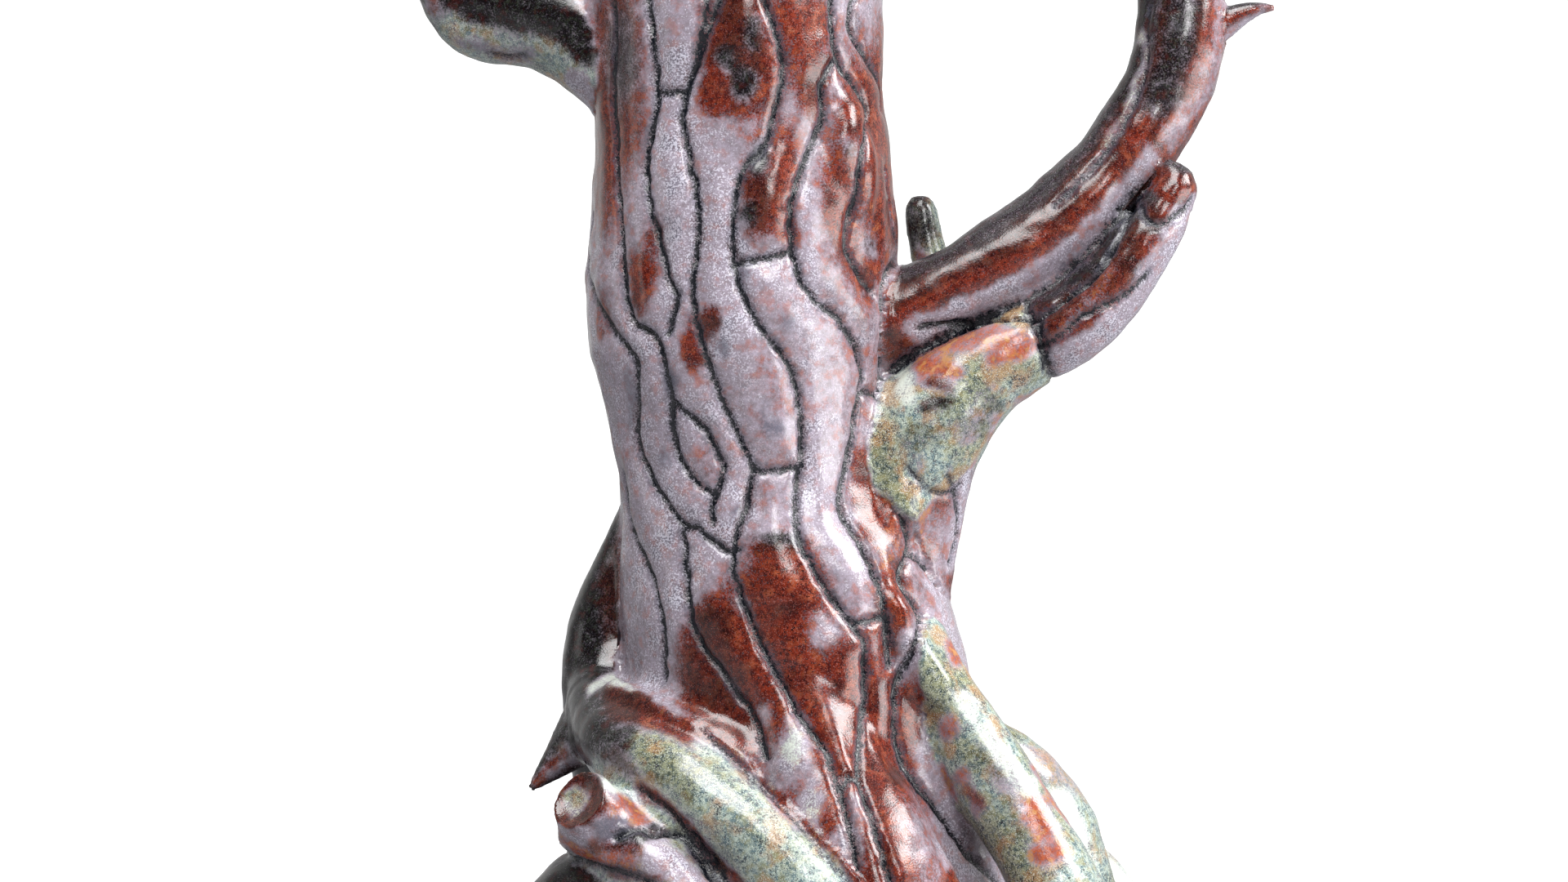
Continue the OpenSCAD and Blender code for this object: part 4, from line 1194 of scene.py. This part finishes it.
def close_back(part, name):
    """Turns the open edge of a piece in, under its neighbours, and fills it."""
    low, high = (Vector(c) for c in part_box(name))
    depth = min(1.5 * MM, 0.12 * min(high - low))
    activate(part)
    bpy.ops.object.mode_set(mode="EDIT")
    bpy.ops.mesh.select_all(action="DESELECT")
    bpy.ops.mesh.select_mode(type="EDGE")
    bpy.ops.mesh.select_non_manifold(use_wire=False, use_multi_face=False, use_non_contiguous=False,
                                     use_verts=False)
    bpy.ops.mesh.extrude_edges_move()
    bpy.ops.object.mode_set(mode="OBJECT")
    mesh = part.data
    chosen = np.empty(len(mesh.vertices), bool)
    mesh.vertices.foreach_get("select", chosen)
    points = read_points(mesh)
    points[chosen] -= read_directions(mesh, "skin_normal")[chosen] * depth
    write_points(mesh, points)
    bpy.ops.object.mode_set(mode="EDIT")
    bpy.ops.mesh.select_all(action="SELECT")
    bpy.ops.mesh.fill_holes(sides=0)
    bpy.ops.mesh.select_all(action="SELECT")
    bpy.ops.mesh.quads_convert_to_tris(quad_method="BEAUTY", ngon_method="BEAUTY")
    bpy.ops.object.mode_set(mode="OBJECT")
    bpy.ops.object.shade_smooth()
    mesh.normals_split_custom_set_from_vertices(read_directions(mesh, "skin_normal").tolist())


def finish_pieces(names):
    """Gives each of these pieces its glaze, and puts it in place of its CAD node."""
    cut_apart()
    for name in names:
        part = bpy.data.objects["glazed_" + name]
        part.data.materials.append(bpy.data.materials.get(GLAZE) or layered_glaze(GLAZE))
        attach(part, "root")
        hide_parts(name)


class CLAYTREE_OT_trunk(bpy.types.Operator):
    """The carved trunk"""
    bl_idname = "claytree.trunk"
    bl_label = "Trunk"

    def execute(self, context):
        finish_pieces(["trunk_shell"])
        return {"FINISHED"}


class CLAYTREE_OT_roots(bpy.types.Operator):
    """The roots and the foot slab that they lie on"""
    bl_idname = "claytree.roots"
    bl_label = "Roots and foot slab"

    def execute(self, context):
        finish_pieces(ROOTS + ["foot_slab"])
        return {"FINISHED"}


class CLAYTREE_OT_limbs(bpy.types.Operator):
    """The side limbs with their collar, buttress, stubs and twigs"""
    bl_idname = "claytree.limbs"
    bl_label = "Limbs"

    def execute(self, context):
        finish_pieces(LIMBS + [name for name in TWIGS if not name.startswith("crown_")])
        return {"FINISHED"}


class CLAYTREE_OT_crown(bpy.types.Operator):
    """The crown's limbs, branches and twigs"""
    bl_idname = "claytree.crown"
    bl_label = "Crown"

    def execute(self, context):
        finish_pieces(CROWN + [name for name in TWIGS if name.startswith("crown_")])
        return {"FINISHED"}


class CLAYTREE_OT_stage(bpy.types.Operator):
    """The pale floor, the soft lights and the camera"""
    bl_idname = "claytree.stage"
    bl_label = "Floor, lights and camera"

    def execute(self, context):
        self.floor(context)
        self.world(context)
        self.lights(context)
        self.camera(context)
        return {"FINISHED"}

    def floor(self, context):
        """A pale floor that gives the object less light than it shows, so that the darks stay deep."""
        deselect()
        bpy.ops.mesh.primitive_circle_add(vertices=96, radius=4.0, fill_type="NGON",
                                          location=(0, 0, FOOT[2] - 0.3 * MM))
        floor = context.object
        floor.name = "pale_floor"
        bpy.ops.object.transform_apply(location=True)
        material = bpy.data.materials.new("pale_paper")
        material.use_nodes = True
        shader = material.node_tree.nodes["Principled BSDF"]
        shader.inputs["Roughness"].default_value = 0.9
        shader.inputs["Emission Color"].default_value = (1, 1, 1, 1)
        tree = material.node_tree
        seen = add_node(tree, "ShaderNodeLightPath").outputs["Is Camera Ray"]
        paper = add_node(tree, "ShaderNodeMix", {0: seen, 6: linear(PAPER_LIT), 7: linear(PAPER_SEEN)},
                         data_type="RGBA")
        tree.links.new(paper.outputs[2], shader.inputs["Base Color"])
        glow = add_node(tree, "ShaderNodeMix", {"Factor": seen, "A": 0.12, "B": 0.72})
        tree.links.new(glow.outputs["Result"], shader.inputs["Emission Strength"])
        floor.data.materials.append(material)

    def world(self, context):
        """White to look at. It lights the object dimly, and least from the side of the camera."""
        world = bpy.data.worlds.new("light_tent")
        context.scene.world = world
        world.use_nodes = True
        tree = world.node_tree
        background = tree.nodes["Background"]
        way = add_node(tree, "ShaderNodeTexCoord").outputs["Generated"]
        parts = add_node(tree, "ShaderNodeSeparateXYZ", {"Vector": way}).outputs
        behind = add_node(tree, "ShaderNodeMapRange", {
            "Value": together(tree, parts["Y"], (parts["X"], 0.36)), "From Min": -0.75, "From Max": 0.55,
            "To Min": 0.05, "To Max": 0.6}, interpolation_type="SMOOTHSTEP").outputs["Result"]
        seen = add_node(tree, "ShaderNodeLightPath").outputs["Is Camera Ray"]
        strength = add_node(tree, "ShaderNodeMix", {"Factor": seen, "A": behind, "B": 1.25})
        tree.links.new(strength.outputs["Result"], background.inputs["Strength"])
        background.inputs["Color"].default_value = (1, 1, 1, 1)

    def lights(self, context):
        aim = Vector((-8, 0, 140)) * MM
        for name, place, width, height, power in (
            ("overhead_softbox", (-60, -360, 850), 460, 560, 9.4),
            ("right_window", (620, -180, 610), 360, 360, 7.0),
            ("right_reflector", (720, -300, 40), 700, 420, 6.5),
            ("front_window", (280, -820, 600), 240, 240, 2.6),
            ("left_softbox", (-800, -150, 260), 300, 300, 0.35),
        ):
            light = bpy.data.lights.new(name, "AREA")
            light.shape = "RECTANGLE"
            light.size = width * MM
            light.size_y = height * MM
            light.energy = power
            lamp = bpy.data.objects.new(name, light)
            lamp.location = Vector(place) * MM
            lamp.rotation_euler = (aim - lamp.location).to_track_quat("-Z", "Y").to_euler()
            context.collection.objects.link(lamp)

    def camera(self, context):
        """Level with the middle of the trunk, close enough to cut off the crown and the foot."""
        data = bpy.data.cameras.new("camera")
        data.sensor_width = 36
        data.lens = 105.5
        data.clip_start = 0.01
        eye = bpy.data.objects.new("camera", data)
        eye.location = Vector((-6.4, -900, 137.6)) * MM
        eye.rotation_euler = (math.radians(90), 0, 0)
        context.collection.objects.link(eye)
        context.scene.camera = eye
        context.scene.view_settings.view_transform = "Standard"


class CLAYTREE_PT_panel(bpy.types.Panel):
    """Lists the steps and the settings"""
    bl_idname = "CLAYTREE_PT_panel"
    bl_label = "Clay tree"
    bl_space_type = "VIEW_3D"
    bl_region_type = "UI"
    bl_category = "Clay Tree"

    def draw(self, context):
        for step in STEPS:
            self.layout.operator(step.bl_idname)
        settings = context.scene.clay_tree
        for group in (settings.sizes, settings.colours):
            box = self.layout.box()
            for name in group.bl_rna.properties.keys():
                if name not in ("rna_type", "name"):
                    box.prop(group, name)


STEPS = (CLAYTREE_OT_lute_skin, CLAYTREE_OT_carve, CLAYTREE_OT_pour_glaze, CLAYTREE_OT_trunk,
         CLAYTREE_OT_roots, CLAYTREE_OT_limbs, CLAYTREE_OT_crown, CLAYTREE_OT_stage)
CLASSES = (ClaySizes, GlazeColours, ClayTreeSettings, *STEPS, CLAYTREE_PT_panel)


def register():
    for cls in CLASSES:
        bpy.utils.register_class(cls)
    bpy.types.Scene.clay_tree = PointerProperty(type=ClayTreeSettings)


def unregister():
    del bpy.types.Scene.clay_tree
    for cls in reversed(CLASSES):
        bpy.utils.unregister_class(cls)


def main():
    register()
    bpy.ops.claytree.lute_skin()
    bpy.ops.claytree.carve()
    bpy.ops.claytree.pour_glaze()
    bpy.ops.claytree.trunk()
    bpy.ops.claytree.roots()
    bpy.ops.claytree.limbs()
    bpy.ops.claytree.crown()
    bpy.ops.claytree.stage()
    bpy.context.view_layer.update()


if __name__ == "__main__":
    main()
